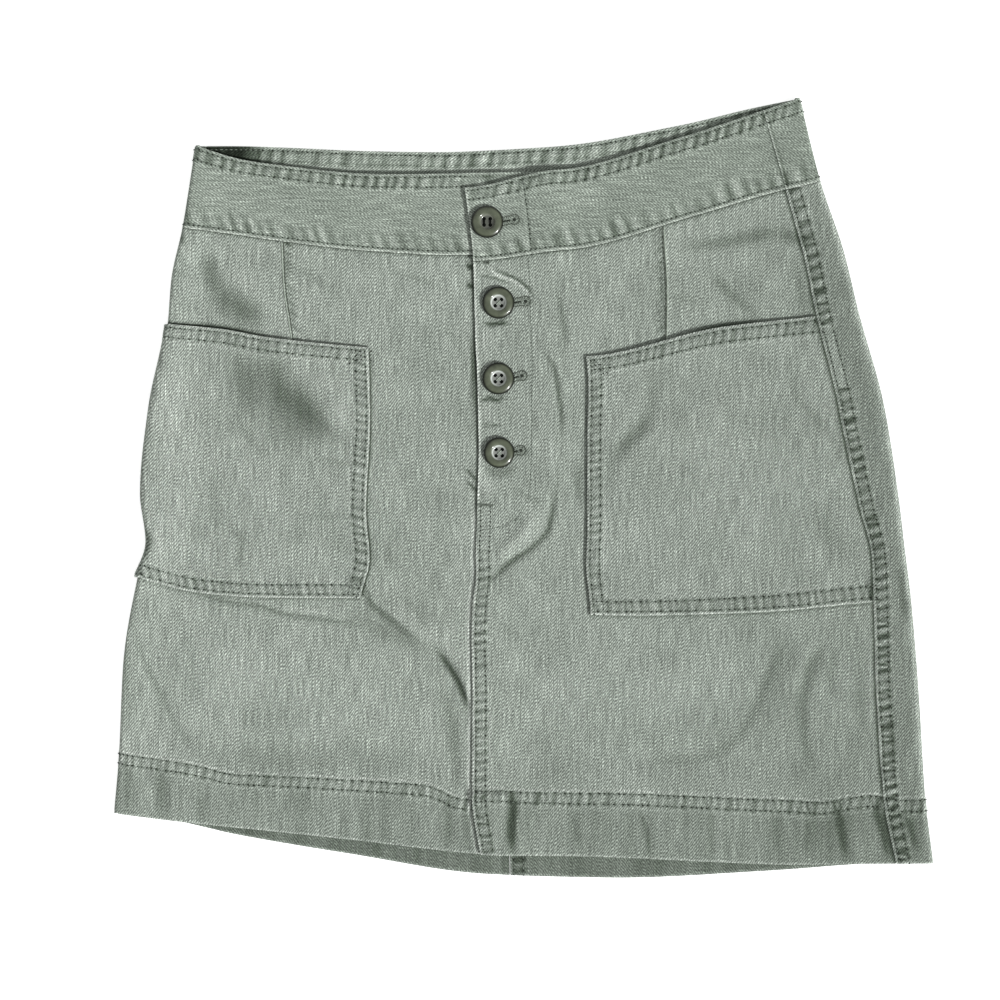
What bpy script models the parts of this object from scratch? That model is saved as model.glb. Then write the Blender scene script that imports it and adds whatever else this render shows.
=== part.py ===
"""Cargo utility skirt: a short A-line skirt in stretch twill, laid flat with its front up.

The skirt is a flattened tube.  Rings run round it, each at a drop below the front waist.
On a ring a point has a share, from -1 at the left side fold to 1 at the right one, and a
turn, from 0 on the front, over the fold, to 1 on the underside.
"""
import math

import bmesh
import bpy
import numpy as np

MM = 0.001

# Driving dimensions, in millimetres
WALL = 1.2              # one layer of twill
DOUBLE = 2.2            # two layers, in the waistband and the hem
GAP = 0.3               # between pieces at seams and laps
AIR = 1.0               # between the front and the back, where the cloth lies evenly
FOLD_RADIUS = 2.9       # outside of the rolled side folds
FOLD_SWELL = 20.0       # distance over which the front sinks from a side fold
BAND_RAMP = 22.0        # distance over which the front sinks from the waistband
HEM_RAMP = 24.0         # distance over which the front rises to the hem
HEM_DEPTH = 36.0
LAP_RAMP = 24.0         # distance over which the right front sinks beyond the lap
UNDER_TURN = 4.0        # the left front's width on the underside
CENTRE_BACK = -0.033    # share of the centre back seam
POCKET_WALL = 1.5
MOUTH_GAPE = 1.6        # how far a pocket's mouth stands open
MOUTH_DEPTH = 26.0      # distance over which the gape dies out

# Rings, from the waist to the hem, and where each meets the side folds.
RINGS = (
    # name, drop, left x, left y, right x, right y
    ("waist_top", 0.0, -202.7, 211.1, 171.1, 240.6),
    ("waist_seam", 50.6, -210.8, 160.3, 184.1, 188.8),
    ("yoke", 83.4, -217.6, 128.7, 198.4, 146.0),
    ("pocket_mouth", 112.1, -219.9, 100.8, 207.5, 108.8),
    ("hip_upper", 163.6, -230.2, 48.7, 223.2, 51.1),
    ("hip_lower", 215.6, -235.2, -3.4, 232.5, -7.8),
    ("buckle", 244.4, -231.8, -33.2, 236.2, -38.8),
    ("pocket_foot", 268.7, -238.4, -55.5, 239.9, -68.5),
    ("thigh", 327.3, -247.4, -110.0, 244.9, -129.9),
    ("hem_fold", 385.3, -249.9, -164.6, 248.6, -190.0),
    ("hem_edge", 421.0, -253.0, -201.2, 253.6, -232.2),
)
# How far a ring hangs below the straight line between its folds, at each of these shares.
SHARES = (-1.0, -0.85, -0.70, -0.42, -0.10, 0.20, 0.60, 0.85, 1.0)
FRONT_DIPS = (
    # ring, dip at each share
    ("waist_top", 0.0, 10.7, 17.1, 26.1, 30.3, 32.9, 18.9, 7.4, 0.0),
    ("waist_seam", 0.0, 5.9, 12.3, 22.5, 29.6, 30.8, 15.7, 4.7, 0.0),
    ("pocket_mouth", 0.0, 3.4, 9.6, 16.6, 22.2, 24.7, 8.3, 3.1, 0.0),
    ("pocket_foot", 0.0, 8.3, 10.4, 9.2, 12.7, 15.7, 11.3, 4.4, 0.0),
    ("hem_fold", 0.0, 3.1, 6.7, 8.5, 14.6, 7.4, 6.3, 3.8, 0.0),
    ("hem_edge", 0.0, 2.6, 4.2, 7.3, 11.2, 8.4, 6.8, 2.6, 0.0),
)
BACK_DIPS = (
    # ring, dip at each share
    ("waist_top", 0.0, 2.2, 5.3, 11.6, 16.5, 17.7, 10.8, 3.5, 0.0),
    ("hip_lower", 0.0, 2.6, 7.3, 14.3, 20.4, 19.8, 11.0, 3.2, 0.0),
    ("hem_edge", 0.0, 2.9, 9.0, 16.7, 23.9, 21.7, 11.2, 2.9, 0.0),
)
# Where the lines down the front cross the rings, as shares, and the width of the left
# front that runs on under the right front.
LINES = (
    # ring, placket edge, right side seam, left pocket's edge, right pocket's edge, lap
    ("waist_top", -0.108, 0.876, -0.42, 0.21, 46.0),
    ("waist_seam", -0.088, 0.888, -0.42, 0.21, 40.0),
    ("yoke", -0.098, 0.881, -0.42, 0.21, 40.0),
    ("pocket_mouth", -0.107, 0.877, -0.418, 0.211, 40.0),
    ("hip_upper", -0.106, 0.876, -0.402, 0.190, 40.0),
    ("hip_lower", -0.116, 0.892, -0.409, 0.175, 30.0),
    ("buckle", -0.134, 0.909, -0.415, 0.158, 14.0),
    ("pocket_foot", -0.134, 0.902, -0.423, 0.170, 12.0),
    ("thigh", -0.122, 0.892, -0.42, 0.17, 12.0),
    ("hem_fold", -0.124, 0.894, -0.42, 0.17, 12.0),
    ("hem_edge", -0.106, 0.907, -0.42, 0.17, 12.0),
)
# The right front slips down at the placket's edge, and this share further on no more.
SLIP_SHARE = 0.30
SLIPS = (
    # ring, slip
    ("waist_top", 9.3),
    ("waist_seam", 4.2),
    ("pocket_mouth", 0.0),
    ("hem_edge", 0.0),
)
# Soft ridges, or troughs where the height is less than 0, in the lying cloth.
FOLDS = (
    # name, start x, start y, end x, end y, bend, half width, height
    ("pocket_corner_crease", -96.0, -62.0, -36.0, -136.0, 5.0, 15.0, 1.9),
    ("pocket_corner_hollow", -108.0, -72.0, -46.0, -140.0, 4.0, 13.0, -0.6),
    ("under_pocket_crease", -168.0, -70.0, -112.0, -86.0, 2.0, 9.0, 1.0),
    ("under_pocket_drag", -122.0, -80.0, -76.0, -92.0, 2.0, 9.0, 1.0),
    ("placket_drag", 22.0, -2.0, -6.0, -58.0, -7.0, 13.0, 1.5),
    ("seam_drag", 4.0, -44.0, -24.0, -78.0, -4.0, 10.0, 1.0),
    ("hip_hollow_left", -196.0, 140.0, -170.0, 106.0, -8.0, 16.0, -0.6),
    ("pocket_hollow_left", -196.0, 85.0, -117.0, 20.0, 6.0, 18.0, -0.6),
    ("pocket_swell_left", -150.0, 78.0, -112.0, -30.0, -5.0, 34.0, 0.9),
    ("pocket_swell_right", 92.0, 70.0, 150.0, -40.0, 6.0, 40.0, 0.9),
    ("thigh_ridge_left", -226.0, -92.0, -196.0, -164.0, 4.0, 20.0, 1.6),
    ("thigh_swell_left", -150.0, -110.0, -90.0, -150.0, 0.0, 30.0, 0.9),
    ("thigh_ridge_right", 152.0, -98.0, 114.0, -166.0, -7.0, 22.0, 1.3),
    ("thigh_swell_right", 22.0, -104.0, 60.0, -160.0, 0.0, 26.0, 0.9),
    ("placket_crease_right", 26.0, 138.0, 22.0, 42.0, -3.0, 9.0, 0.9),
    ("yoke_swell_left", -110.0, 130.0, -70.0, 20.0, 0.0, 24.0, 0.8),
    ("hem_hollow_left", -45.0, -188.0, -44.0, -216.0, 0.0, 12.0, -0.5),
    ("hem_wave_middle", 6.0, -190.0, 8.0, -222.0, 0.0, 14.0, 1.0),
    ("hem_wave_right", 76.0, -196.0, 84.0, -226.0, 0.0, 20.0, 1.0),
)
EDGE_CALM = 16.0        # no fold closer than this to a side fold, a lap or a seam

# Buttons: four-hole, turned with a wide rounded rim.
BUTTONS = (
    # name, x, y, diameter
    ("button_1", -22.2, 163.3, 19.8),
    ("button_2", -15.3, 113.9, 19.8),
    ("button_3", -15.3, 67.1, 19.7),
    ("button_4", -14.8, 21.4, 18.9),
)
BUTTON_THICKNESS = 3.2
BUTTON_DISH = 1.3       # depth of the sunken middle
BUTTON_WELL = 0.42      # radius of the sunken middle, as a part of the button's radius
HOLE_DIAMETER = 2.1
HOLE_PITCH = 3.5        # between neighbouring holes
ROUND_SEGMENTS = 28

# Segments of the cloth's grids
SIDE_TO_POCKET = 9
POCKET_TO_PLACKET = 9
POCKET_TO_SIDE = 11
LAP_SEGMENTS = 3
STRIP_SEGMENTS = 2
BACK_SEGMENTS = 8
FOLD_TURNS = (0.25, 0.5, 0.75)
BAND_ROWS = 3
YOKE_ROWS = 4
POCKET_ROWS = 10
THIGH_ROWS = 7
HEM_ROWS = 3
HEM_STEP = 2.0          # between the single and the double wall

# Finishes: colour, roughness, metallic
SAGE_TWILL = ("sage_twill", (0.27, 0.32, 0.26, 1.0), 0.9, 0.0)
SAGE_BAND = ("sage_band", (0.24, 0.29, 0.23, 1.0), 0.9, 0.0)
SAGE_POCKET = ("sage_pocket", (0.29, 0.34, 0.28, 1.0), 0.9, 0.0)
OLIVE_BUTTON = ("olive_button", (0.10, 0.12, 0.08, 1.0), 0.3, 0.0)


# ---- Curves through the tables

def smooth(stops, values, at):
    """The value at each place, on a smooth curve through the values at the stops."""
    at = np.atleast_1d(np.asarray(at, float))
    stops, values = np.asarray(stops, float), np.asarray(values, float)
    if values.ndim == 1:
        values = np.repeat(values[:, None], at.size, axis=1)
    run = np.diff(stops)[:, None]
    rise = np.diff(values, axis=0) / run
    same_way = rise[:-1] * rise[1:] > 0
    both = np.where(same_way, rise[:-1] + rise[1:], 1.0)
    slope = np.empty_like(values)
    slope[0], slope[-1] = rise[0], rise[-1]
    slope[1:-1] = np.where(same_way, 2 * rise[:-1] * rise[1:] / both, 0.0)
    step = np.clip(np.searchsorted(stops, at, side="right") - 1, 0, len(stops) - 2)
    width = run[step, 0]
    part = (at - stops[step]) / width

    def pick(table, row):
        return np.take_along_axis(table, row[None], 0)[0]

    return (pick(values, step) * (1 + 2 * part) * (1 - part) ** 2
            + pick(slope, step) * width * part * (1 - part) ** 2
            + pick(values, step + 1) * part ** 2 * (3 - 2 * part)
            + pick(slope, step + 1) * width * part ** 2 * (part - 1))


def ease(part):
    """0 below 0, 1 above 1, and smooth between."""
    part = np.clip(part, 0.0, 1.0)
    return part * part * (3 - 2 * part)


DROP_OF = {row[0]: row[1] for row in RINGS}


def column(table, index, drop):
    """One column of a table whose rows are named for rings, at these drops."""
    stops = [DROP_OF[row[0]] for row in table]
    return smooth(stops, [row[index] for row in table], drop)


def placket(drop):
    return column(LINES, 1, drop)


def side_seam(drop):
    return column(LINES, 2, drop)


def pocket_left_edge(drop):
    return column(LINES, 3, drop)


def pocket_right_edge(drop):
    return column(LINES, 4, drop)


def half_width(drop):
    return (column(RINGS, 4, drop) - column(RINGS, 2, drop)) / 2


def beside(line, offset):
    """A line's neighbour, this many millimetres to the right."""
    return lambda drop: line(drop) + offset / half_width(drop)


def at_share(share):
    return lambda drop: np.full(np.shape(drop), share, float)


def lap_end(drop):
    return placket(drop) + column(LINES, 5, drop) / half_width(drop)


def under_end(drop):
    return -1 + (FOLD_RADIUS + UNDER_TURN) / half_width(drop)


# ---- The form of the lying tube

def dip(table, share, drop):
    """How far the ring hangs at this share, between the table's rings and shares."""
    columns = [column(table, index + 1, drop) for index in range(len(SHARES))]
    return smooth(SHARES, np.array(columns), share)


def folds_relief(x, y):
    """Height that the soft folds add at a place."""
    height = np.zeros(np.shape(x))
    for _, start_x, start_y, end_x, end_y, bend, half, lift in FOLDS:
        length = math.hypot(end_x - start_x, end_y - start_y)
        along_x, along_y = (end_x - start_x) / length, (end_y - start_y) / length
        along = ((x - start_x) * along_x + (y - start_y) * along_y) / length
        across = (y - start_y) * along_x - (x - start_x) * along_y
        bow = bend * 4 * np.clip(along, 0, 1) * (1 - np.clip(along, 0, 1))
        beyond = np.maximum(0, np.abs(along - 0.5) - 0.5) * length
        away = np.hypot(across - bow, beyond)
        fade = ease((0.75 - np.abs(along - 0.5)) * 2.6)
        height = height + lift * ease(1 - away / half) * fade
    return height


def calm(x, share, drop):
    """0 at the side folds, the lap and the seams, and 1 where the cloth is free to fold."""
    half = half_width(drop)
    from_fold = (1 - np.abs(share)) * half
    from_seam = np.abs(share - side_seam(drop)) * half
    edge, end = placket(drop), lap_end(drop)
    from_lap = np.maximum(edge - share, share - end) * half
    return (ease(from_fold / EDGE_CALM) * ease(from_lap / EDGE_CALM)
            * ease(from_seam / EDGE_CALM))


def front_height(x, y, share, drop, in_band, over_lap):
    """Height of the front's outer face above the floor."""
    single = WALL + AIR + WALL
    double = DOUBLE + AIR + DOUBLE
    if in_band:
        height = np.full(np.shape(x), double)
        layer = np.full(np.shape(x), DOUBLE)
    else:
        near_band = 1 - ease((drop - DROP_OF["waist_seam"]) / BAND_RAMP)
        hem_line = DROP_OF["hem_edge"] - HEM_DEPTH
        in_hem = ease((drop - hem_line + HEM_RAMP) / HEM_RAMP)
        height = single + (double - single) * np.maximum(0.6 * near_band, in_hem)
        layer = np.where(drop > hem_line - HEM_STEP, DOUBLE, WALL)
        height = height + folds_relief(x, y) * calm(x, share, drop)
    half = half_width(drop)
    from_fold = (1 - np.abs(share)) * half - FOLD_RADIUS
    swell = 1 - ease(from_fold / FOLD_SWELL)
    height = height + (2 * FOLD_RADIUS - height) * swell
    if over_lap:
        beyond = (share - lap_end(drop)) * half - 2.0
        height = height + (layer + GAP) * (1 - ease(beyond / LAP_RAMP))
    return height


def ring_points(share, turn, drop, out=0.0, in_band=False, over_lap=False):
    """Points on the skirt's outer face, moved out by a distance."""
    share = np.asarray(share, float)
    drop = np.asarray(drop, float)
    shape = share.shape
    share, drop = share.ravel(), drop.ravel()
    turn = np.broadcast_to(turn, shape).ravel()
    out = np.broadcast_to(out, shape).ravel()
    left_x, left_y = column(RINGS, 2, drop), column(RINGS, 3, drop)
    right_x, right_y = column(RINGS, 4, drop), column(RINGS, 5, drop)
    part = (share + 1) / 2
    front_dip = dip(FRONT_DIPS, share, drop)
    if over_lap:
        slip = 1 - ease((share - placket(drop)) / SLIP_SHARE)
        front_dip = front_dip + column(SLIPS, 1, drop) * slip
    back_dip = dip(BACK_DIPS, share, drop)
    x = left_x + (right_x - left_x) * part
    y = left_y + (right_y - left_y) * part - front_dip - (back_dip - front_dip) * turn
    top = front_height(x, y, share, drop, in_band, over_lap)
    inset = np.clip(x, left_x + FOLD_RADIUS, right_x - FOLD_RADIUS)
    angle = math.pi * turn
    side = np.where(share < 0, -1.0, 1.0)
    reach = FOLD_RADIUS + out
    x = inset + side * np.sin(angle) * reach
    z = np.where(turn <= 0, top + out, FOLD_RADIUS + np.cos(angle) * reach)
    return np.stack([x, y, z], axis=-1).reshape(shape + (3,))


# ---- Making pieces of cloth

def stops_between(lines, counts):
    """Drops or shares from one line to the next, each stretch cut into its count."""
    parts = []
    for start, end, count in zip(lines[:-1], lines[1:], counts):
        parts += [start + (end - start) * step / count for step in range(count)]
    return parts + [lines[-1]]


def front_columns(lines, counts):
    """Columns on the front from line to line, as pairs of share line and turn."""
    columns = []
    for start, end, count in zip(lines[:-1], lines[1:], counts):
        for step in range(count):
            part = step / count
            columns.append((lambda drop, a=start, b=end, k=part:
                            a(drop) * (1 - k) + b(drop) * k, 0.0))
    return columns + [(lines[-1], 0.0)]


def back_columns(start, end, count):
    """Columns on the underside from line to line."""
    columns = front_columns((start, end), (count,))
    return [(line, 1.0) for line, _ in columns]


def fold_columns(side, turns):
    """Columns round a side fold."""
    return [(at_share(side), turn) for turn in turns]


def grid_of(columns, rows, **form):
    """Points where the columns cross the rows."""
    drops = np.repeat(np.array(rows, float)[:, None], len(columns), axis=1)
    shares = np.stack([line(np.array(rows, float)) for line, _ in columns], axis=1)
    turns = np.array([turn for _, turn in columns])[None, :]
    return ring_points(shares, turns, drops, **form)


def make_material(finish):
    name, colour, roughness, metallic = finish
    material = bpy.data.materials.get(name) or bpy.data.materials.new(name)
    material.use_nodes = True
    shader = material.node_tree.nodes["Principled BSDF"]
    shader.inputs["Base Color"].default_value = colour
    shader.inputs["Roughness"].default_value = roughness
    shader.inputs["Metallic"].default_value = metallic
    return material


def cloth(collection, name, points, wall, finish, thin_rows=(), thin_wall=None):
    """A piece of cloth: a grid moved to its points, with its wall on the inner side."""
    rows, columns = points.shape[:2]
    sheet = bmesh.new()
    bmesh.ops.create_grid(sheet, x_segments=columns - 1, y_segments=rows - 1, size=1)
    thin = []
    for vertex in sheet.verts:
        column_index = round((vertex.co.x + 1) / 2 * (columns - 1))
        row_index = round((1 - vertex.co.y) / 2 * (rows - 1))
        vertex.co = points[row_index, column_index] * MM
        if row_index in thin_rows:
            thin.append(vertex.index)
    bmesh.ops.triangulate(sheet, faces=sheet.faces, quad_method="FIXED")
    mesh = bpy.data.meshes.new(name)
    sheet.to_mesh(mesh)
    sheet.free()
    mesh.shade_smooth()
    mesh.set_sharp_from_angle(angle=math.radians(40))
    piece = bpy.data.objects.new(name, mesh)
    collection.objects.link(piece)
    mesh.materials.append(make_material(finish))
    solidify = piece.modifiers.new("wall", "SOLIDIFY")
    solidify.thickness = wall * MM
    solidify.offset = -1.0
    solidify.use_even_offset = True
    if thin_rows:
        full = piece.vertex_groups.new(name="double")
        full.add([v.index for v in mesh.vertices if v.index not in set(thin)], 1.0, "REPLACE")
        solidify.vertex_group = full.name
        solidify.thickness_vertex_group = thin_wall / wall
    return piece


# ---- The skirt's pieces

BAND_STOPS = stops_between((DROP_OF["waist_top"], DROP_OF["waist_seam"]), (BAND_ROWS,))
HEM_LINE = DROP_OF["hem_edge"] - HEM_DEPTH
PANEL_STOPS = stops_between(
    (DROP_OF["waist_seam"] + GAP, DROP_OF["pocket_mouth"], DROP_OF["pocket_foot"],
     HEM_LINE - HEM_STEP, HEM_LINE, DROP_OF["hem_edge"]),
    (YOKE_ROWS, POCKET_ROWS, THIGH_ROWS, 1, HEM_ROWS))
SINGLE_ROWS = range(YOKE_ROWS + POCKET_ROWS + THIGH_ROWS + 1)
POCKET_SLICE = slice(YOKE_ROWS, YOKE_ROWS + POCKET_ROWS + 1)

LEFT_FOLD = ([(under_end, 1.0)]
             + fold_columns(-1.0, (1.0,) + FOLD_TURNS[::-1]))
RIGHT_FOLD = fold_columns(1.0, (0.0,) + FOLD_TURNS + (1.0,))
LEFT_FRONT = (LEFT_FOLD
              + front_columns((at_share(-1.0), pocket_left_edge, placket, lap_end),
                              (SIDE_TO_POCKET, POCKET_TO_PLACKET, LAP_SEGMENTS)))
RIGHT_FRONT = front_columns(
    (placket, lap_end, pocket_right_edge, beside(side_seam, -GAP / 2)),
    (LAP_SEGMENTS, POCKET_TO_PLACKET - LAP_SEGMENTS, POCKET_TO_SIDE))
RIGHT_STRIP = front_columns((beside(side_seam, GAP / 2), at_share(1.0)),
                            (STRIP_SEGMENTS,))[:-1]
BACK_SEAM = at_share(CENTRE_BACK)
RIGHT_BACK = back_columns(at_share(1.0), beside(BACK_SEAM, GAP / 2), BACK_SEGMENTS)[1:]
LEFT_BACK = back_columns(beside(BACK_SEAM, -GAP / 2), beside(under_end, GAP), BACK_SEGMENTS)


def panels(collection):
    """Two front and two back panels, each doubled over at the hem."""
    single = {"thin_rows": SINGLE_ROWS, "thin_wall": WALL}
    cloth(collection, "front_left", grid_of(LEFT_FRONT, PANEL_STOPS),
          DOUBLE, SAGE_TWILL, **single)
    cloth(collection, "front_right", grid_of(RIGHT_FRONT, PANEL_STOPS, over_lap=True),
          DOUBLE, SAGE_TWILL, **single)
    cloth(collection, "back_right", grid_of(RIGHT_STRIP + RIGHT_FOLD + RIGHT_BACK, PANEL_STOPS),
          DOUBLE, SAGE_TWILL, **single)
    cloth(collection, "back_left", grid_of(LEFT_BACK, PANEL_STOPS),
          DOUBLE, SAGE_TWILL, **single)


def waistband(collection):
    """A shaped band in three lengths, joined at the side seams."""
    cloth(collection, "waistband_front_left",
          grid_of(LEFT_FRONT, BAND_STOPS, in_band=True), DOUBLE, SAGE_BAND)
    cloth(collection, "waistband_front_right",
          grid_of(RIGHT_FRONT, BAND_STOPS, in_band=True, over_lap=True), DOUBLE, SAGE_BAND)
    whole_back = RIGHT_STRIP + RIGHT_FOLD + RIGHT_BACK + LEFT_BACK
    cloth(collection, "waistband_back",
          grid_of(whole_back, BAND_STOPS, in_band=True), DOUBLE, SAGE_BAND)


def pocket_lift(rows, columns, free_side):
    """How far a pocket's outer face stands off the panel, gaping at the mouth."""
    drops = np.array(rows, float)[:, None]
    across = np.linspace(0, 1, columns)[None, :]
    if free_side == "left":
        across = 1 - across
    open_mouth = np.sin(math.pi * np.clip(across, 0, 1)) ** 2
    near_mouth = 1 - ease((drops - DROP_OF["pocket_mouth"]) / MOUTH_DEPTH)
    return GAP + POCKET_WALL + MOUTH_GAPE * open_mouth * near_mouth


def pockets(collection):
    """Two patch pockets that lie on the front panels and reach the side seams."""
    rows = PANEL_STOPS[POCKET_SLICE]
    fold_side = len(LEFT_FOLD) - 2
    left = LEFT_FRONT[fold_side:len(LEFT_FOLD) + SIDE_TO_POCKET + 1]
    lift = pocket_lift(rows, len(left), "right")
    cloth(collection, "pocket_left", grid_of(left, rows, out=lift), POCKET_WALL, SAGE_POCKET)
    right = RIGHT_FRONT[POCKET_TO_PLACKET:]
    lift = pocket_lift(rows, len(right), "left")
    cloth(collection, "pocket_right", grid_of(right, rows, out=lift, over_lap=True),
          POCKET_WALL, SAGE_POCKET)


def button_profile(radius):
    """Half of a button's section, down the outer side from the middle of the top."""
    top = BUTTON_THICKNESS
    dish = top - BUTTON_DISH
    well = radius * BUTTON_WELL
    crown = radius * 0.66
    return (
        (0.0, dish), (well, dish), (radius * 0.50, top - 0.35), (radius * 0.57, top - 0.05),
        (crown, top), (radius * 0.80, top - 0.25), (radius * 0.91, top - 0.8),
        (radius, top - 1.75), (radius - 0.15, 0.9), (radius * 0.78, 0.0), (0.0, 0.0),
    )


def cloth_top_under(x, y, radius):
    """Highest point of the right front below a button."""
    drops = np.linspace(0.0, DROP_OF["hip_lower"], 160)
    shares = np.linspace(-0.11, 0.08, 40)
    drop_grid, share_grid = np.meshgrid(drops, shares)
    heights = []
    for in_band in (True, False):
        points = ring_points(share_grid, 0.0, drop_grid, in_band=in_band, over_lap=True)
        within = np.hypot(points[..., 0] - x, points[..., 1] - y) < radius
        in_piece = (drop_grid <= DROP_OF["waist_seam"]) == in_band
        heights += list(points[..., 2][within & in_piece])
    return max(heights)


def buttons(collection, cutters):
    """Four buttons on the placket, each turned and drilled with four holes."""
    for name, x, y, diameter in BUTTONS:
        radius = diameter / 2
        profile = bpy.data.meshes.new(name)
        points = [(px * MM, 0.0, pz * MM) for px, pz in button_profile(radius)]
        profile.from_pydata(points, [(i, i + 1) for i in range(len(points) - 1)], [])
        turned = bpy.data.objects.new(name, profile)
        collection.objects.link(turned)
        base = cloth_top_under(x, y, radius) + GAP
        turned.location = (x * MM, y * MM, base * MM)
        profile.materials.append(make_material(OLIVE_BUTTON))
        screw = turned.modifiers.new("turned", "SCREW")
        screw.axis = "Z"
        screw.steps = screw.render_steps = ROUND_SEGMENTS
        screw.use_merge_vertices = True
        screw.merge_threshold = 0.00001
        for corner in range(4):
            angle = math.pi / 4 + corner * math.pi / 2
            reach = HOLE_PITCH / math.sqrt(2)
            bpy.ops.mesh.primitive_cylinder_add(
                vertices=10, radius=HOLE_DIAMETER / 2 * MM, depth=3 * BUTTON_THICKNESS * MM,
                location=((x + reach * math.cos(angle)) * MM,
                          (y + reach * math.sin(angle)) * MM, base * MM))
            drill = bpy.context.active_object
            drill.name = f"{name}_hole_{corner + 1}"
            drill.hide_render = True
            drill.display_type = "WIRE"
            for holder in list(drill.users_collection):
                holder.objects.unlink(drill)
            cutters.objects.link(drill)
            cut = turned.modifiers.new(f"hole_{corner + 1}", "BOOLEAN")
            cut.operation = "DIFFERENCE"
            cut.object = drill


for leftover in list(bpy.data.objects):
    bpy.data.objects.remove(leftover, do_unlink=True)
skirt = bpy.data.collections.new("cargo_utility_skirt")
hole_cutters = bpy.data.collections.new("hole_cutters")
bpy.context.scene.collection.children.link(skirt)
bpy.context.scene.collection.children.link(hole_cutters)
panels(skirt)
waistband(skirt)
pockets(skirt)
buttons(skirt, hole_cutters)
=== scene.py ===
"""Cargo utility skirt, laid flat with its front up: the looks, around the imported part.

The skirt is a flattened tube.  Rings run round it, each at a drop below the front waist.
On a ring a point has a share, from -1 at the left side fold to 1 at the right one, and a
turn, from 0 on the front, over the fold, to 1 on the underside.  Tables are in millimetres.
"""
import math

import bmesh
import bpy
import numpy as np
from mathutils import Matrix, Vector
from mathutils.bvhtree import BVHTree


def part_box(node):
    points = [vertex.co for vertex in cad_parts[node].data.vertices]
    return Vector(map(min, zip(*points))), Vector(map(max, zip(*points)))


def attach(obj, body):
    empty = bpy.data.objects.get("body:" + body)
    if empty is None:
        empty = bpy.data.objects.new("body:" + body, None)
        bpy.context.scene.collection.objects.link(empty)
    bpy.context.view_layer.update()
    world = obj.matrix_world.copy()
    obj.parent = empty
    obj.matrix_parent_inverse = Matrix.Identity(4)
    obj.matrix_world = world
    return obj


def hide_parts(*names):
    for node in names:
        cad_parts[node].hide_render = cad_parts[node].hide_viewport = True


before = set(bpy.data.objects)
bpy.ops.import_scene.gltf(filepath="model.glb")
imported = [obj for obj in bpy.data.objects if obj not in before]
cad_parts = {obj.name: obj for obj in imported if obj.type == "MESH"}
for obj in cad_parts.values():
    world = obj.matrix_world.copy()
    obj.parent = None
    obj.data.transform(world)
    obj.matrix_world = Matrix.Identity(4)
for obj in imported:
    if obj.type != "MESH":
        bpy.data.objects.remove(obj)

MM = 0.001
scene = bpy.context.scene
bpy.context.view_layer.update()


# ---------------------------------------------------------------- camera, floor and light
# A plain pale light table, seen straight down.  A low sun-like lamp shines in from the right
# and the hem, and an even pale surround opens the shadows.
VIEW_WIDTH = 0.62
VIEW_CENTRE = (-0.0143, -0.0078)
LENS, SENSOR = 70.0, 36.0
FLOOR_DROP = 0.0002     # keeps the floor clear of the cloth that lies on it


def placed(name, data):
    """A new object with this data, in the scene."""
    thing = bpy.data.objects.new(name, data)
    scene.collection.objects.link(thing)
    return thing


def set_inputs(node, values):
    for label, value in values.items():
        node.inputs[label].default_value = value


camera_data = bpy.data.cameras.new("camera")
camera_data.lens, camera_data.sensor_width = LENS, SENSOR
scene.camera = placed("camera", camera_data)
scene.camera.location = (*VIEW_CENTRE, VIEW_WIDTH * LENS / SENSOR)
scene.view_settings.view_transform = "Standard"

scene.world = bpy.data.worlds.new("surround")
scene.world.use_nodes = True
set_inputs(scene.world.node_tree.nodes["Background"],
           {"Color": (1.0, 1.0, 1.0, 1.0), "Strength": 0.59})

sun_data = bpy.data.lights.new("low_sun", "SUN")
sun_data.energy, sun_data.angle = 4.5, math.radians(8)
low_sun = placed("low_sun", sun_data)
low_sun.location = (1.0, -0.8, 0.95)
low_sun.rotation_euler = (-low_sun.location).to_track_quat("-Z", "Y").to_euler()

floor_mesh = bpy.data.meshes.new("floor")
floor_mesh.from_pydata([(-3, -3, 0), (3, -3, 0), (3, 3, 0), (-3, 3, 0)], [], [(0, 1, 2, 3)])
floor = placed("floor", floor_mesh)
floor.location = (0, 0, -FLOOR_DROP)
floor_finish = bpy.data.materials.new("pale_light_table")
floor_finish.use_nodes = True
set_inputs(floor_finish.node_tree.nodes["Principled BSDF"],
           {"Base Color": (0.85, 0.85, 0.85, 1.0), "Roughness": 0.9,
            "Emission Color": (1.0, 1.0, 1.0, 1.0), "Emission Strength": 0.60})
floor_finish.cycles.emission_sampling = "NONE"
floor_mesh.materials.append(floor_finish)


# ---------------------------------------------------------------- back panels
# Two panels of washed stretch twill, joined at the centre back in a lapped seam and turned
# up twice at the hem.  They lie on the table, inside up where the hem shows; the right one
# goes over the right side fold and ends at the side seam on the front.
WALL = 1.2              # one layer of twill
DOUBLE = 2.2            # two layers, in the waistband and the hem
GAP = 0.3               # between two pieces at a seam
AIR = 1.0               # between the front and the back
FOLD_RADIUS = 2.9       # of the side folds
FOLD_SWELL = 20.0       # width over which the front rises to a side fold
BAND_RAMP = 22.0        # lengths over which it rises to the band, the hem and the lap
HEM_RAMP = 24.0
LAP_RAMP = 24.0
HEM_DEPTH = 36.0
UNDER_TURN = 4.0        # how far the left side seam lies in from its fold, on the underside
CENTRE_BACK = -0.033    # share
ROW_1, ROW_2 = 2.3, 8.2  # the two rows of topstitching, from the seam's edge
FRONT_TURN = 0.3        # turns below this carry the front's relief and tone

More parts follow.
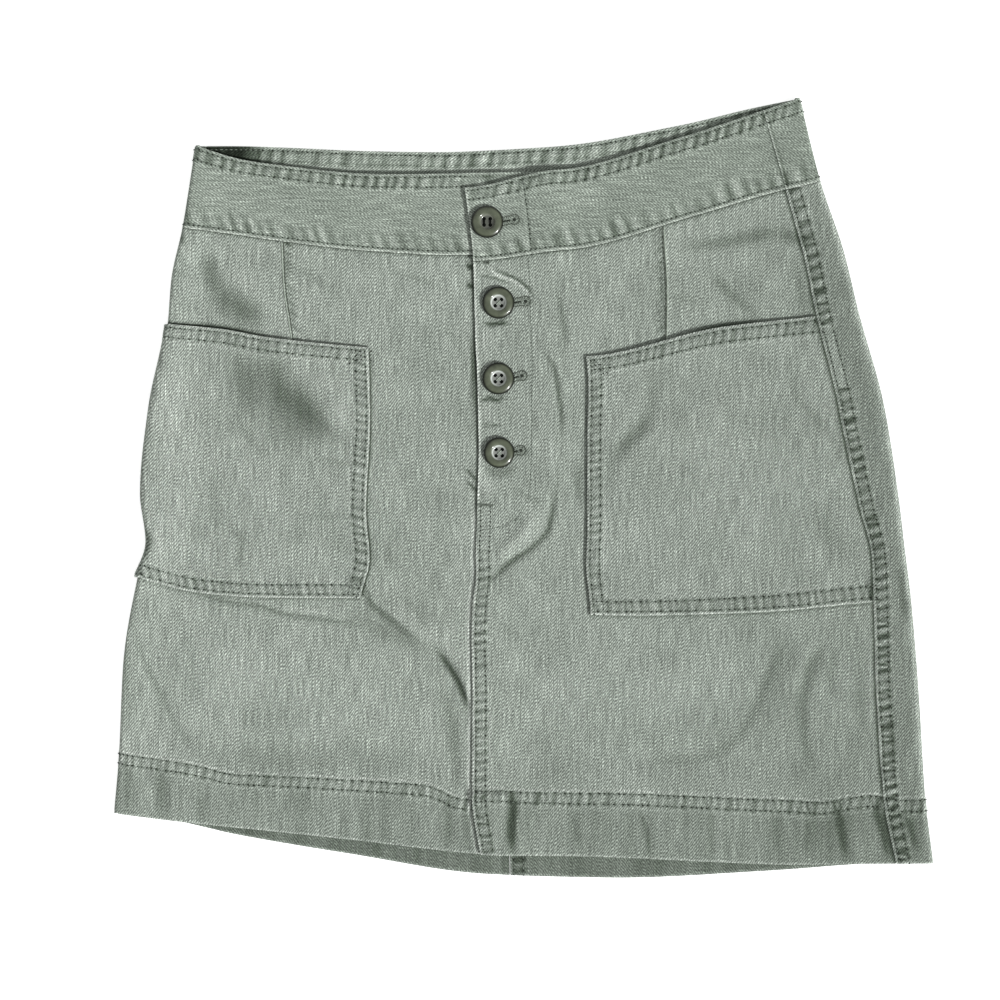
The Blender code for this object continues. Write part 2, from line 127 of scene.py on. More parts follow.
RINGS = (
    # name, drop, left x, left y, right x, right y
    ("waist_top", 0.0, -202.7, 211.1, 171.1, 240.6),
    ("waist_seam", 50.6, -210.8, 160.3, 184.1, 188.8),
    ("yoke", 83.4, -217.6, 128.7, 198.4, 146.0),
    ("pocket_mouth", 112.1, -219.9, 100.8, 207.5, 108.8),
    ("hip_upper", 163.6, -230.2, 48.7, 223.2, 51.1),
    ("hip_lower", 215.6, -235.2, -3.4, 232.5, -7.8),
    ("buckle", 244.4, -231.8, -33.2, 236.2, -38.8),
    ("pocket_foot", 268.7, -238.4, -55.5, 239.9, -68.5),
    ("thigh", 327.3, -247.4, -110.0, 244.9, -129.9),
    ("hem_fold", 385.3, -249.9, -164.6, 248.6, -190.0),
    ("hem_edge", 421.0, -253.0, -201.2, 253.6, -232.2),
)
SHARES = (-1.0, -0.85, -0.70, -0.42, -0.10, 0.20, 0.60, 0.85, 1.0)
FRONT_DIPS = (
    # ring, dip at each share
    ("waist_top", 0.0, 10.7, 17.1, 26.1, 30.3, 32.9, 18.9, 7.4, 0.0),
    ("waist_seam", 0.0, 5.9, 12.3, 22.5, 29.6, 30.8, 15.7, 4.7, 0.0),
    ("pocket_mouth", 0.0, 3.4, 9.6, 16.6, 22.2, 24.7, 8.3, 3.1, 0.0),
    ("pocket_foot", 0.0, 8.3, 10.4, 9.2, 12.7, 15.7, 11.3, 4.4, 0.0),
    ("hem_fold", 0.0, 3.1, 6.7, 8.5, 14.6, 7.4, 6.3, 3.8, 0.0),
    ("hem_edge", 0.0, 2.6, 4.2, 7.3, 11.2, 8.4, 6.8, 2.6, 0.0),
)
BACK_DIPS = (
    # ring, dip at each share
    ("waist_top", 0.0, 2.2, 5.3, 11.6, 16.5, 17.7, 10.8, 3.5, 0.0),
    ("hip_lower", 0.0, 2.6, 7.3, 14.3, 20.4, 19.8, 11.0, 3.2, 0.0),
    ("hem_edge", 0.0, 2.9, 9.0, 16.7, 23.9, 21.7, 11.2, 2.9, 0.0),
)
LINES = (
    # ring, placket edge, right side seam, left pocket's edge, right pocket's edge, lap
    ("waist_top", -0.108, 0.876, -0.42, 0.21, 46.0),
    ("waist_seam", -0.088, 0.888, -0.42, 0.21, 40.0),
    ("yoke", -0.098, 0.881, -0.42, 0.21, 40.0),
    ("pocket_mouth", -0.107, 0.877, -0.418, 0.211, 40.0),
    ("hip_upper", -0.106, 0.876, -0.402, 0.190, 40.0),
    ("hip_lower", -0.116, 0.892, -0.409, 0.175, 30.0),
    ("buckle", -0.134, 0.909, -0.415, 0.158, 14.0),
    ("pocket_foot", -0.134, 0.902, -0.423, 0.170, 12.0),
    ("thigh", -0.122, 0.892, -0.42, 0.17, 12.0),
    ("hem_fold", -0.124, 0.894, -0.42, 0.17, 12.0),
    ("hem_edge", -0.106, 0.907, -0.42, 0.17, 12.0),
)
SLIP_SHARE = 0.30
SLIPS = (
    # ring, how far the right front slips down at the placket
    ("waist_top", 9.3),
    ("waist_seam", 4.2),
    ("pocket_mouth", 0.0),
    ("hem_edge", 0.0),
)
HEM_WAVE = (
    # x, how far the sewn line of the hem stands above its ring
    (-256.0, 2.0), (-215.0, 1.6), (-198.0, 1.0), (-182.0, -0.8), (-150.0, 0.3), (-100.0, 1.6),
    (-80.0, 3.0), (-60.0, 4.4), (-51.0, 2.6), (-42.0, -0.4), (-33.0, -0.8), (-28.0, 4.6),
    (-14.0, 5.4), (-5.0, 4.2), (20.0, 1.8), (40.0, 0.2), (80.0, 0.4), (160.0, 0.2),
    (185.0, -0.6), (200.0, 1.6), (216.0, 3.2), (226.0, 0.8), (244.0, -0.8), (256.0, 0.0),
)
FOLDS = (
    # name, width on its left and on its right, height, tone (painted shade in the hollows, painted light
    # on the swells), and its path as x, y, x, y ...
    ("side_swell_left", 16, 22, 1.0, 0.30, (-222, 84, -215, 40, -213, 0, -217, -48)),
    ("yoke_hollow_top", 9, 10, -0.5, -1.15, (-195, 146, -193, 132, -188, 120)),
    ("yoke_hollow", 14, 15, -0.8, -1.3, (-192, 127, -184, 117, -170, 108, -158, 103)),
    ("yoke_ridge", 10, 8, 0.6, 0.25, (-184, 140, -168, 122, -148, 107)),
    ("yoke_side_1", 5, 5, -0.3, -0.45, (-214, 147, -206, 133)),
    ("yoke_side_2", 4, 4, -0.3, -0.35, (-222, 133, -204, 131)),
    ("band_corner", 3, 3, -0.5, -1.4, (-213, 158, -209, 150)),
    ("dart_drag", 4, 5, -0.3, -0.4, (-152, 141, -126, 128, -112, 114)),
    ("placket_drag_upper", 4, 4, -0.3, -0.45, (-86, 134, -64, 129, -48, 121)),
    ("placket_drag_lower", 4, 4, -0.2, -0.4, (-52, 99, -42, 92, -38, 78)),
    ("pocket_hollow_1", 13, 13, -0.5, -0.55, (-180, 88, -174, 62, -171, 42)),
    ("pocket_hollow_2", 9, 9, -0.4, -0.45, (-155, 84, -151, 62, -148, 45)),
    ("pocket_hollow_wide", 32, 30, -0.8, -1.05, (-176, 84, -152, 54, -124, 28)),
    ("pocket_hollow_3", 9, 14, -0.8, -0.65, (-147, 70, -134, 50, -124, 37, -110, 26)),
    ("pocket_ridge", 12, 12, 0.8, 0.35, (-132, 73, -116, 53, -108, 37)),
    ("pocket_streak_1", 6, 6, -0.3, -0.4, (-181, 42, -168, 30, -158, 19)),
    ("pocket_streak_2", 7, 7, -0.3, -0.4, (-193, 16, -191, -8, -188, -36)),
    ("pocket_tuck", 3.5, 3.5, -0.4, -0.55, (-184, -24, -174, -32, -175, -52)),
    ("pocket_dimple_1", 7, 7, -0.2, -0.3, (-150, 18, -147, -6)),
    ("pocket_dimple_2", 4, 4, -0.2, -0.35, (-144, -15, -126, -18, -104, -17)),
    ("pocket_dimple_3", 4, 4, -0.2, -0.35, (-128, 8, -126, -16)),
    ("pocket_dimple_4", 3, 3, -0.2, -0.45, (-128, 18, -102, 13)),
    ("pocket_dimple_5", 9, 9, -0.2, -0.3, (-118, -30, -104, -44)),
    ("side_notch", 2.5, 4, -0.6, -1.6, (-237, -19, -230, -33, -235, -47)),
    ("side_notch_ridge", 4, 4, 0.5, 0.5, (-227, -25, -223, -45)),
    ("under_pocket", 2.5, 3.5, -0.6, -1.0,
     (-206, -65, -180, -71, -164, -73, -148, -78, -126, -81, -100, -85)),
    ("under_pocket_ridge", 2, 2, 0.4, 0.45, (-154, -73, -138, -75.5, -120, -77)),
    ("under_pocket_shade", 8, 10, -0.4, -0.5, (-112, -77, -90, -87, -64, -98)),
    ("corner_drag", 3.5, 4, -0.6, -0.9, (-109, -57, -99, -62, -94, -72, -82, -82, -68, -94)),
    ("corner_ridge", 15, 4, 1.9, 0.22, (-90, -70, -66, -88, -50, -97, -38, -115, -32, -137)),
    ("corner_shade", 1.5, 15, -0.4, -0.5, (-106, -62, -92, -72, -70, -90, -57, -103)),
    ("corner_crease", 2.6, 4.4, -1.4, -2.2, (-55, -98, -46, -110, -39, -122, -33, -139)),
    ("corner_crease_foot", 6, 8, -0.4, -0.5, (-48, -124, -45, -146, -43, -172)),
    ("seam_hollow_left", 5, 7, -0.5, -0.55, (-42, -138, -41, -165, -42, -192)),
    ("small_drag", 2.5, 2.5, -0.3, -0.45, (-77, -65, -66, -77, -59, -88)),
    ("thigh_line_left", 3, 4.5, -0.4, -0.55, (-243, -77, -235, -104, -224, -128, -213, -149, -202, -162)),
    ("thigh_side_left", 8, 8, -0.3, -0.45, (-247, -92, -244, -120, -241, -154)),
    ("thigh_swell_left", 32, 36, 1.0, 0.18, (-205, -100, -150, -110, -90, -118)),
    ("hem_rise_left", 18, 12, 0.0, -0.35, (-208, -168, -150, -170, -64, -170)),
    ("hem_streak_1", 3.5, 3.5, -0.3, -0.5, (-244, -166, -243, -201)),
    ("hem_streak_2", 7, 7, -0.3, -0.55, (-224, -168, -222, -204)),
    ("hem_streak_3", 5, 5, -0.2, -0.35, (-199, -188, -200, -209)),
    ("hem_streak_4", 5, 6, -0.5, -0.5, (-46, -188, -45, -223)),
    ("button_pull_1", 6, 6, 0.3, 0.55, (-25, 147, -22, 140)),
    ("button_pull_2", 7, 7, 0.3, 0.45, (-25, 98, -22, 86)),
    ("button_pull_3", 7, 7, 0.3, 0.5, (-25, 53, -20, 40)),
    ("button_pull_4", 7, 7, 0.3, 0.5, (-25, 6, -19, -6)),
    ("band_drag_ridge", 1.5, 1.5, 0.5, 1.7, (-23, 138.5, -16.4, 131, -7.8, 128.4, 1.5, 121.8, 5.5, 116)),
    ("band_drag_placket", 1.7, 1.7, -0.5, -2.0, (-19, 135, -12, 132, -3, 128, 4, 121.8, 7.5, 116)),
    ("band_drag_low", 1.5, 1.7, -0.3, -1.5, (-28, 130.5, -22, 130, -15, 128.4, -8, 126)),
    ("placket_shadow_1", 2.6, 2.2, 0.0, -2.6, (-35, 138, -33, 136, -31, 135.5)),
    ("placket_shadow_2", 2.6, 2.2, 0.0, -2.5, (-35, 126, -33, 124.5, -30.5, 124)),
    ("placket_shadow_3", 1.5, 1.5, 0.0, -2.3, (-36, 12, -32, 8, -28.5, 3.5)),
    ("placket_shadow_4", 1.5, 1.5, 0.0, -2.1, (-35, 4, -32, 1, -28, -3)),
    ("placket_hollow", 4.0, 1.2, 0.0, -1.3, (-32.6, 96, -32, 80, -31.2, 62, -30.6, 46)),
    ("buttonhole_shade_2", 4.5, 4.5, 0.0, -0.8, (-7, 113.5, 8, 115.5)),
    ("buttonhole_shade_3", 4, 4, 0.0, -0.6, (-7, 67, 6, 69)),
    ("buttonhole_shade_4", 4.5, 4.5, 0.0, -0.9, (-7, 21.5, 6, 23)),
    ("button_shade_2", 4, 4, 0.0, -0.6, (-22, 104, -8, 104)),
    ("button_shade_3", 3, 3, 0.0, -0.4, (-22, 57, -8, 57)),
    ("button_shade_4", 5, 6, 0.0, -0.9, (-24, 13, -14, 9, -4, 13)),
    ("placket_drag_1", 1.4, 2.2, -0.5, -2.8, (-25, 101.4, -19, 100.6, -14, 101.8, -8, 101.6)),
    ("placket_drag_2", 1.4, 2.0, -0.5, -2.7, (-27, 53.8, -21, 55.0, -16, 54.2, -11, 56.0)),
    ("placket_drag_3", 1.2, 1.6, -0.2, -1.8, (-26, 38.6, -20, 38.0, -14, 39.0)),
    ("fly_hollow_1", 3, 3.5, -0.5, -0.8, (20, 124, 24, 110, 26, 94, 25, 84)),
    ("fly_hollow_2", 2.2, 2.8, -0.7, -1.6, (12, 84, 19, 75, 22, 58, 24, 40, 24, 28)),
    ("fly_ridge", 8, 8, 0.7, 0.3, (12, 32, 20, 10)),
    ("pocket_edge_hollow", 5, 4, -0.4, -0.6, (35, 14, 33, 2, 38, -10)),
    ("drag_ridge", 6, 7, 1.3, 0.35, (8, -14, -2, -30, -20, -46)),
    ("placket_drag", 3.6, 2.2, -1.1, -1.8,
     (20, 2, 18, -14, 15, -26, 5, -37, -8, -46, -18, -55, -26, -62)),
    ("small_drag_1", 3, 3, -0.3, -0.5, (-6, 0, 3, -6, 15, -11)),
    ("small_drag_2", 3, 3, -0.3, -0.45, (-11, -17, 3, -23)),
    ("small_drag_3", 5, 5, -0.3, -0.3, (-14, -84, -2, -94)),
    ("band_drag_right", 7, 7, -0.4, -0.95, (94, 148.4, 113, 150.5, 132.6, 153.4, 150, 157, 164, 158.5)),
    ("yoke_drag_1", 4, 4, -0.2, -0.35, (86, 118, 109, 116)),
    ("yoke_drag_2", 6, 6, -0.3, -0.75, (114, 135, 130, 118, 144, 106)),
    ("yoke_side_right", 7, 7, -0.4, -0.95, (158, 157, 181, 150)),
    ("yoke_side_right_2", 8, 8, -0.2, -0.45, (166, 146, 172, 122, 177, 103)),
    ("pocket_crease_right", 8, 10, -0.6, -0.45, (82, 84, 80, 62, 77, 46, 70, 34, 60, 24, 53, 10, 50, -8)),
    ("pocket_crease_deep", 7, 7, -0.4, -0.5, (80, 52, 74, 38, 62, 26, 56, 16)),
    ("pocket_side_right", 5, 5, -0.3, -0.4, (164, 80, 168, 58, 178, 45, 193, 29)),
    ("pocket_swell_right", 42, 42, 1.1, 0.08, (100, 58, 140, 0, 118, -42)),
    ("pocket_low_right", 12, 12, -0.3, -0.28, (174, -6, 198, -40)),
    ("pocket_tack", 3, 3, -0.2, -0.9, (214, -54, 214, -73)),
    ("thigh_line_right", 5, 6, -0.5, -0.42,
     (164, -90, 153, -114, 143, -138, 128, -158, 108, -167, 74, -169)),
    ("thigh_ridge_right", 8, 8, 0.9, 0.25, (188, -88, 172, -104, 163, -126)),
    ("thigh_hollow_right", 6, 7, -0.9, -0.65, (187, -90, 177, -115, 172, -136, 174, -156, 182, -180)),
    ("thigh_hollow_right_2", 4, 4, -0.3, -0.45, (192, -97, 189, -134)),
    ("thigh_side_right", 9, 9, -0.2, -0.4, (206, -82, 208, -120, 212, -152)),
    ("thigh_swell_right", 36, 36, 1.0, 0.14, (8, -110, 60, -118, 112, -112)),
    ("hem_bar", 4, 6, -1.2, -2.2, (-9, -183, -6, -196, -7, -212, -7, -227)),
    ("hem_crease_1", 2.5, 2.5, -0.4, -0.8, (70, -197, 76, -212, 78, -229)),
    ("hem_crease_2", 4.5, 4.5, -0.7, -1.1, (192, -191, 196, -210, 200, -232)),
    ("hem_crease_3", 3, 3, -0.3, -0.65, (176, -199, 174, -230)),
    ("hem_crease_4", 4, 4, -0.2, -0.45, (155, -199, 157, -227)),
    ("hem_crease_5", 5, 5, -0.7, -1.3, (215, -189, 222, -212, 227, -232)),
    ("hem_crease_6", 4, 4, -0.3, -0.6, (234, -199, 245, -227)),
    ("hem_crease_7", 4, 4, -0.2, -0.4, (30, -198, 34, -224)),
    ("hem_crease_8", 5, 5, -0.2, -0.35, (118, -199, 116, -228)),
    ("hem_swell", 14, 14, 0.9, 0.0, (44, -196, 48, -228)),
    ("thigh_shade_right", 60, 50, 0.0, -0.28, (150, -96, 176, -150, 196, -228)),
    ("strip_hollow_1", 4, 4, -0.3, -0.5, (205, 28, 210, 2)),
    ("strip_hollow_2", 6, 5, -0.4, -0.5, (213, -6, 220, -46)),
    ("strip_edge", 4, 4, -0.4, -0.8, (232, -46, 237, -86)),
    ("strip_long", 5, 5, -0.3, -0.4, (222, -88, 227, -140, 230, -186)),
)
EDGE_CALM = 14.0        # width over which the relief dies out towards an edge
WAVE_KNOTS, SURFACE_KNOTS = 4096, 64
DROP_OF = {row[0]: row[1] for row in RINGS}
panel_top = DROP_OF["waist_seam"] + GAP
hem_edge = DROP_OF["hem_edge"]
mouth, foot = DROP_OF["pocket_mouth"], DROP_OF["pocket_foot"]
HEM_LINE = hem_edge - HEM_DEPTH


def smooth(stops, values, at):
    """The value at each place, on a smooth curve through the values at the stops."""
    at = np.atleast_1d(np.asarray(at, float))
    stops, values = np.asarray(stops, float), np.asarray(values, float)
    if values.ndim == 1:
        values = np.repeat(values[:, None], at.size, axis=1)
    run = np.diff(stops)[:, None]
    rise = np.diff(values, axis=0) / run
    same_way = rise[:-1] * rise[1:] > 0
    both = np.where(same_way, rise[:-1] + rise[1:], 1.0)
    slope = np.empty_like(values)
    slope[0], slope[-1] = rise[0], rise[-1]
    slope[1:-1] = np.where(same_way, 2 * rise[:-1] * rise[1:] / both, 0.0)
    step = np.clip(np.searchsorted(stops, at, side="right") - 1, 0, len(stops) - 2)
    width = run[step, 0]
    part = (at - stops[step]) / width

    def pick(table, row):
        return np.take_along_axis(table, row[None], 0)[0]

    return (pick(values, step) * (1 + 2 * part) * (1 - part) ** 2
            + pick(slope, step) * width * part * (1 - part) ** 2
            + pick(values, step + 1) * part ** 2 * (3 - 2 * part)
            + pick(slope, step + 1) * width * part ** 2 * (part - 1))


def ease(part):
    """0 below 0, 1 above 1, and smooth between."""
    part = np.clip(part, 0.0, 1.0)
    return part * part * (3 - 2 * part)


def hump(distance, half):
    """1 at no distance, falling smoothly to 0 at the half width."""
    return ease(1 - np.abs(distance) / half)


def wander(along, pitch, seed):
    """An uneven wave from -1 to 1, whose knots lie a pitch apart."""
    knots = np.random.default_rng(seed).uniform(-1, 1, WAVE_KNOTS)
    place = np.asarray(along) / pitch + 500
    low = np.floor(place).astype(int)
    part = ease(place - low)
    return knots[low % WAVE_KNOTS] * (1 - part) + knots[(low + 1) % WAVE_KNOTS] * part


def wander_over(x, y, pitch, seed):
    """An uneven surface from -1 to 1, whose knots lie a pitch apart."""
    knots = np.random.default_rng(seed).uniform(-1, 1, (SURFACE_KNOTS, SURFACE_KNOTS))
    across, along = [np.asarray(place) / pitch + SURFACE_KNOTS // 2 for place in (x, y)]
    column_low, row_low = np.floor(across).astype(int), np.floor(along).astype(int)
    right, up = ease(across - column_low), ease(along - row_low)
    corners = [knots[(row_low + r) % SURFACE_KNOTS, (column_low + c) % SURFACE_KNOTS]
               for r in (0, 1) for c in (0, 1)]
    lower = corners[0] * (1 - right) + corners[1] * right
    upper = corners[2] * (1 - right) + corners[3] * right
    return lower * (1 - up) + upper * up


def puckers(along, pitch, seed):
    """Bars of shrunken cloth along a seam: high and low, nearly even, a pitch each."""
    phase = along / pitch + 0.55 * wander(along, 2.3 * pitch, seed)
    size = 0.68 + 0.32 * wander(along, 3.1 * pitch, seed + 1)
    return np.sin(math.pi * phase) * size + 0.25 * wander(along, 0.7 * pitch, seed + 2)


def column(table, index, drop):
    """One column of a table whose rows are named for rings, at these drops."""
    stops = [DROP_OF[row[0]] for row in table]
    values = smooth(stops, [row[index] for row in table], np.ravel(drop))
    return values.reshape(np.shape(drop)) if np.ndim(drop) else values


placket, side_seam, pocket_left_edge, pocket_right_edge = [
    lambda drop, index=index: column(LINES, index, drop) for index in (1, 2, 3, 4)]


def half_width(drop):
    return (column(RINGS, 4, drop) - column(RINGS, 2, drop)) / 2


def beside(line, offset):
    """A line's neighbour, this many millimetres to the right."""
    return lambda drop: line(drop) + offset / half_width(drop)


def at_share(share):
    return lambda drop: np.full(np.shape(drop), share, float)


def lap_end(drop):
    return placket(drop) + column(LINES, 5, drop) / half_width(drop)


def under_end(drop):
    return -1 + (FOLD_RADIUS + UNDER_TURN) / half_width(drop)


def dip(table, share, drop):
    """How far the ring hangs at this share, between the table's rings and shares."""
    columns = [column(table, index + 1, drop) for index in range(len(SHARES))]
    return smooth(SHARES, np.array(columns), share)


def slip(share, drop):
    """How far the right front hangs below its ring, beside the placket."""
    return column(SLIPS, 1, drop) * (1 - ease((share - placket(drop)) / SLIP_SHARE))


def folds_at(folds, x, y):
    """Height, and tone of painted shade and light, that soft folds along smooth paths add at these
    places.
    """
    height, tone = np.zeros(np.shape(x)), np.zeros(np.shape(x))
    for _, left, right, lift, shade, path in folds:
        knots = np.array(path, float).reshape(-1, 2)
        stops, fine = np.linspace(0, 1, len(knots)), np.linspace(0, 1, 6 * len(knots))
        line = np.stack([smooth(stops, knots[:, 0], fine), smooth(stops, knots[:, 1], fine)], 1)
        reach = max(left, right)
        low, high = line.min(0) - reach, line.max(0) + reach
        near = (x > low[0]) & (x < high[0]) & (y > low[1]) & (y < high[1])
        near_x, near_y = x[near], y[near]
        steps = np.diff(line, axis=0)
        lengths = np.maximum(np.hypot(steps[:, 0], steps[:, 1]), 1e-6)
        done = np.concatenate([[0.0], np.cumsum(lengths)])
        best = np.full(near_x.shape, 1e6)
        along, side = np.zeros(near_x.shape), np.zeros(near_x.shape)
        for start, step, length, before in zip(line, steps, lengths, done):
            part = ((near_x - start[0]) * step[0] + (near_y - start[1]) * step[1]) / length ** 2
            part = np.clip(part, 0, 1)
            off_x = near_x - start[0] - part * step[0]
            off_y = near_y - start[1] - part * step[1]
            distance = np.hypot(off_x, off_y)
            closer = distance < best
            best = np.where(closer, distance, best)
            along = np.where(closer, before + part * length, along)
            side = np.where(closer, step[0] * off_y - step[1] * off_x, side)
        taper = min(0.4 * done[-1], 28.0)
        fade = ease(np.minimum(along, done[-1] - along) / taper + 0.2)
        profile = hump(best, np.where(side > 0, left, right)) * fade
        height[near] += lift * profile
        tone[near] += shade * profile
    return height, tone


def front_height(share, drop, relief, in_band, over_lap):
    """Height of the front's outer face above the table."""
    single = WALL + AIR + WALL
    double = DOUBLE + AIR + DOUBLE
    half = half_width(drop)
    if in_band:
        height = np.full(np.shape(share), double)
        layer = np.full(np.shape(share), DOUBLE)
    else:
        near_band = 1 - ease((drop - DROP_OF["waist_seam"]) / BAND_RAMP)
        in_hem = ease((drop - HEM_LINE + HEM_RAMP) / HEM_RAMP)
        height = single + (double - single) * np.maximum(0.6 * near_band, in_hem)
        layer = np.where(drop > HEM_LINE - 2.0, DOUBLE, WALL)
        from_fold = (1 - np.abs(share)) * half
        from_seam = np.abs(share - side_seam(drop)) * half
        height = height + relief * ease(from_fold / EDGE_CALM) * ease(from_seam / EDGE_CALM)
    from_fold = (1 - np.abs(share)) * half - FOLD_RADIUS
    swell = 1 - ease(from_fold / FOLD_SWELL)
    height = height + (2 * FOLD_RADIUS - height) * swell
    if over_lap:
        beyond = (share - lap_end(drop)) * half - 2.0
        height = height + (layer + GAP) * (1 - ease(beyond / LAP_RAMP))
    return height


def ring_points(share, turn, drop, out=0.0, relief=0.0, in_band=False, over_lap=False):
    """Points on the skirt's outer face, moved out by a distance."""
    shape = np.shape(share)
    share, drop = np.ravel(share).astype(float), np.ravel(drop).astype(float)
    turn = np.ravel(np.broadcast_to(turn, shape))
    out = np.ravel(np.broadcast_to(out, shape))
    relief = np.ravel(np.broadcast_to(relief, shape))
    left_x, left_y = column(RINGS, 2, drop), column(RINGS, 3, drop)
    right_x, right_y = column(RINGS, 4, drop), column(RINGS, 5, drop)
    part = (share + 1) / 2
    front_dip = dip(FRONT_DIPS, share, drop)
    if over_lap:
        front_dip = front_dip + slip(share, drop)
    back_dip = dip(BACK_DIPS, share, drop)
    x = left_x + (right_x - left_x) * part
    y = left_y + (right_y - left_y) * part - front_dip - (back_dip - front_dip) * turn
    top = front_height(share, drop, relief, in_band, over_lap)
    inset = np.clip(x, left_x + FOLD_RADIUS, right_x - FOLD_RADIUS)
    angle = math.pi * turn
    side = np.where(share < 0, -1.0, 1.0)
    x = inset + side * np.sin(angle) * (FOLD_RADIUS + out)
    z = np.where(turn <= 0, top + out, FOLD_RADIUS + np.cos(angle) * (FOLD_RADIUS + out))
    return np.stack([x, y, z], axis=-1).reshape(shape + (3,))


def near_edge(width, count):
    """Offsets from an edge inwards, closest together at the edge."""
    return [width * (step / count) ** 1.5 for step in range(count + 1)]


def from_edge(edge, offsets):
    """Drops, or lines, at these distances beyond a drop or a line."""
    return [beside(edge, offset) if callable(edge) else edge + offset for offset in offsets]


def up_to_edge(edge, offsets):
    """Drops, or lines, at these distances before a drop or a line, in their order."""
    return from_edge(edge, [-offset for offset in offsets[::-1]])


def evenly(start, end, pitch):
    """Stops between two places, about a pitch apart, without the two ends."""
    count = max(2, round(abs(end - start) / pitch))
    return [start + (end - start) * step / count for step in range(1, count)]


def columns_between(start, end, pitch):
    """Columns from one line to another, about a pitch apart, without the two ends."""
    middle = np.array([DROP_OF["hip_upper"]])
    width = float(np.max(np.abs(end(middle) - start(middle)) * half_width(middle)))
    parts = evenly(0.0, 1.0, pitch / width)
    return [lambda drop, k=part: start(drop) * (1 - k) + end(drop) * k for part in parts]


def flat(lines, turn=0.0):
    return [(line, turn) for line in lines]


UNDERSIDE_MAP = 500.0   # the weave map's underside is mirrored about half of this
USUAL_HALF = 230.0      # about the skirt's half width, to space points by
SEWING_STEP = 1.5       # between the points of a row of sewing


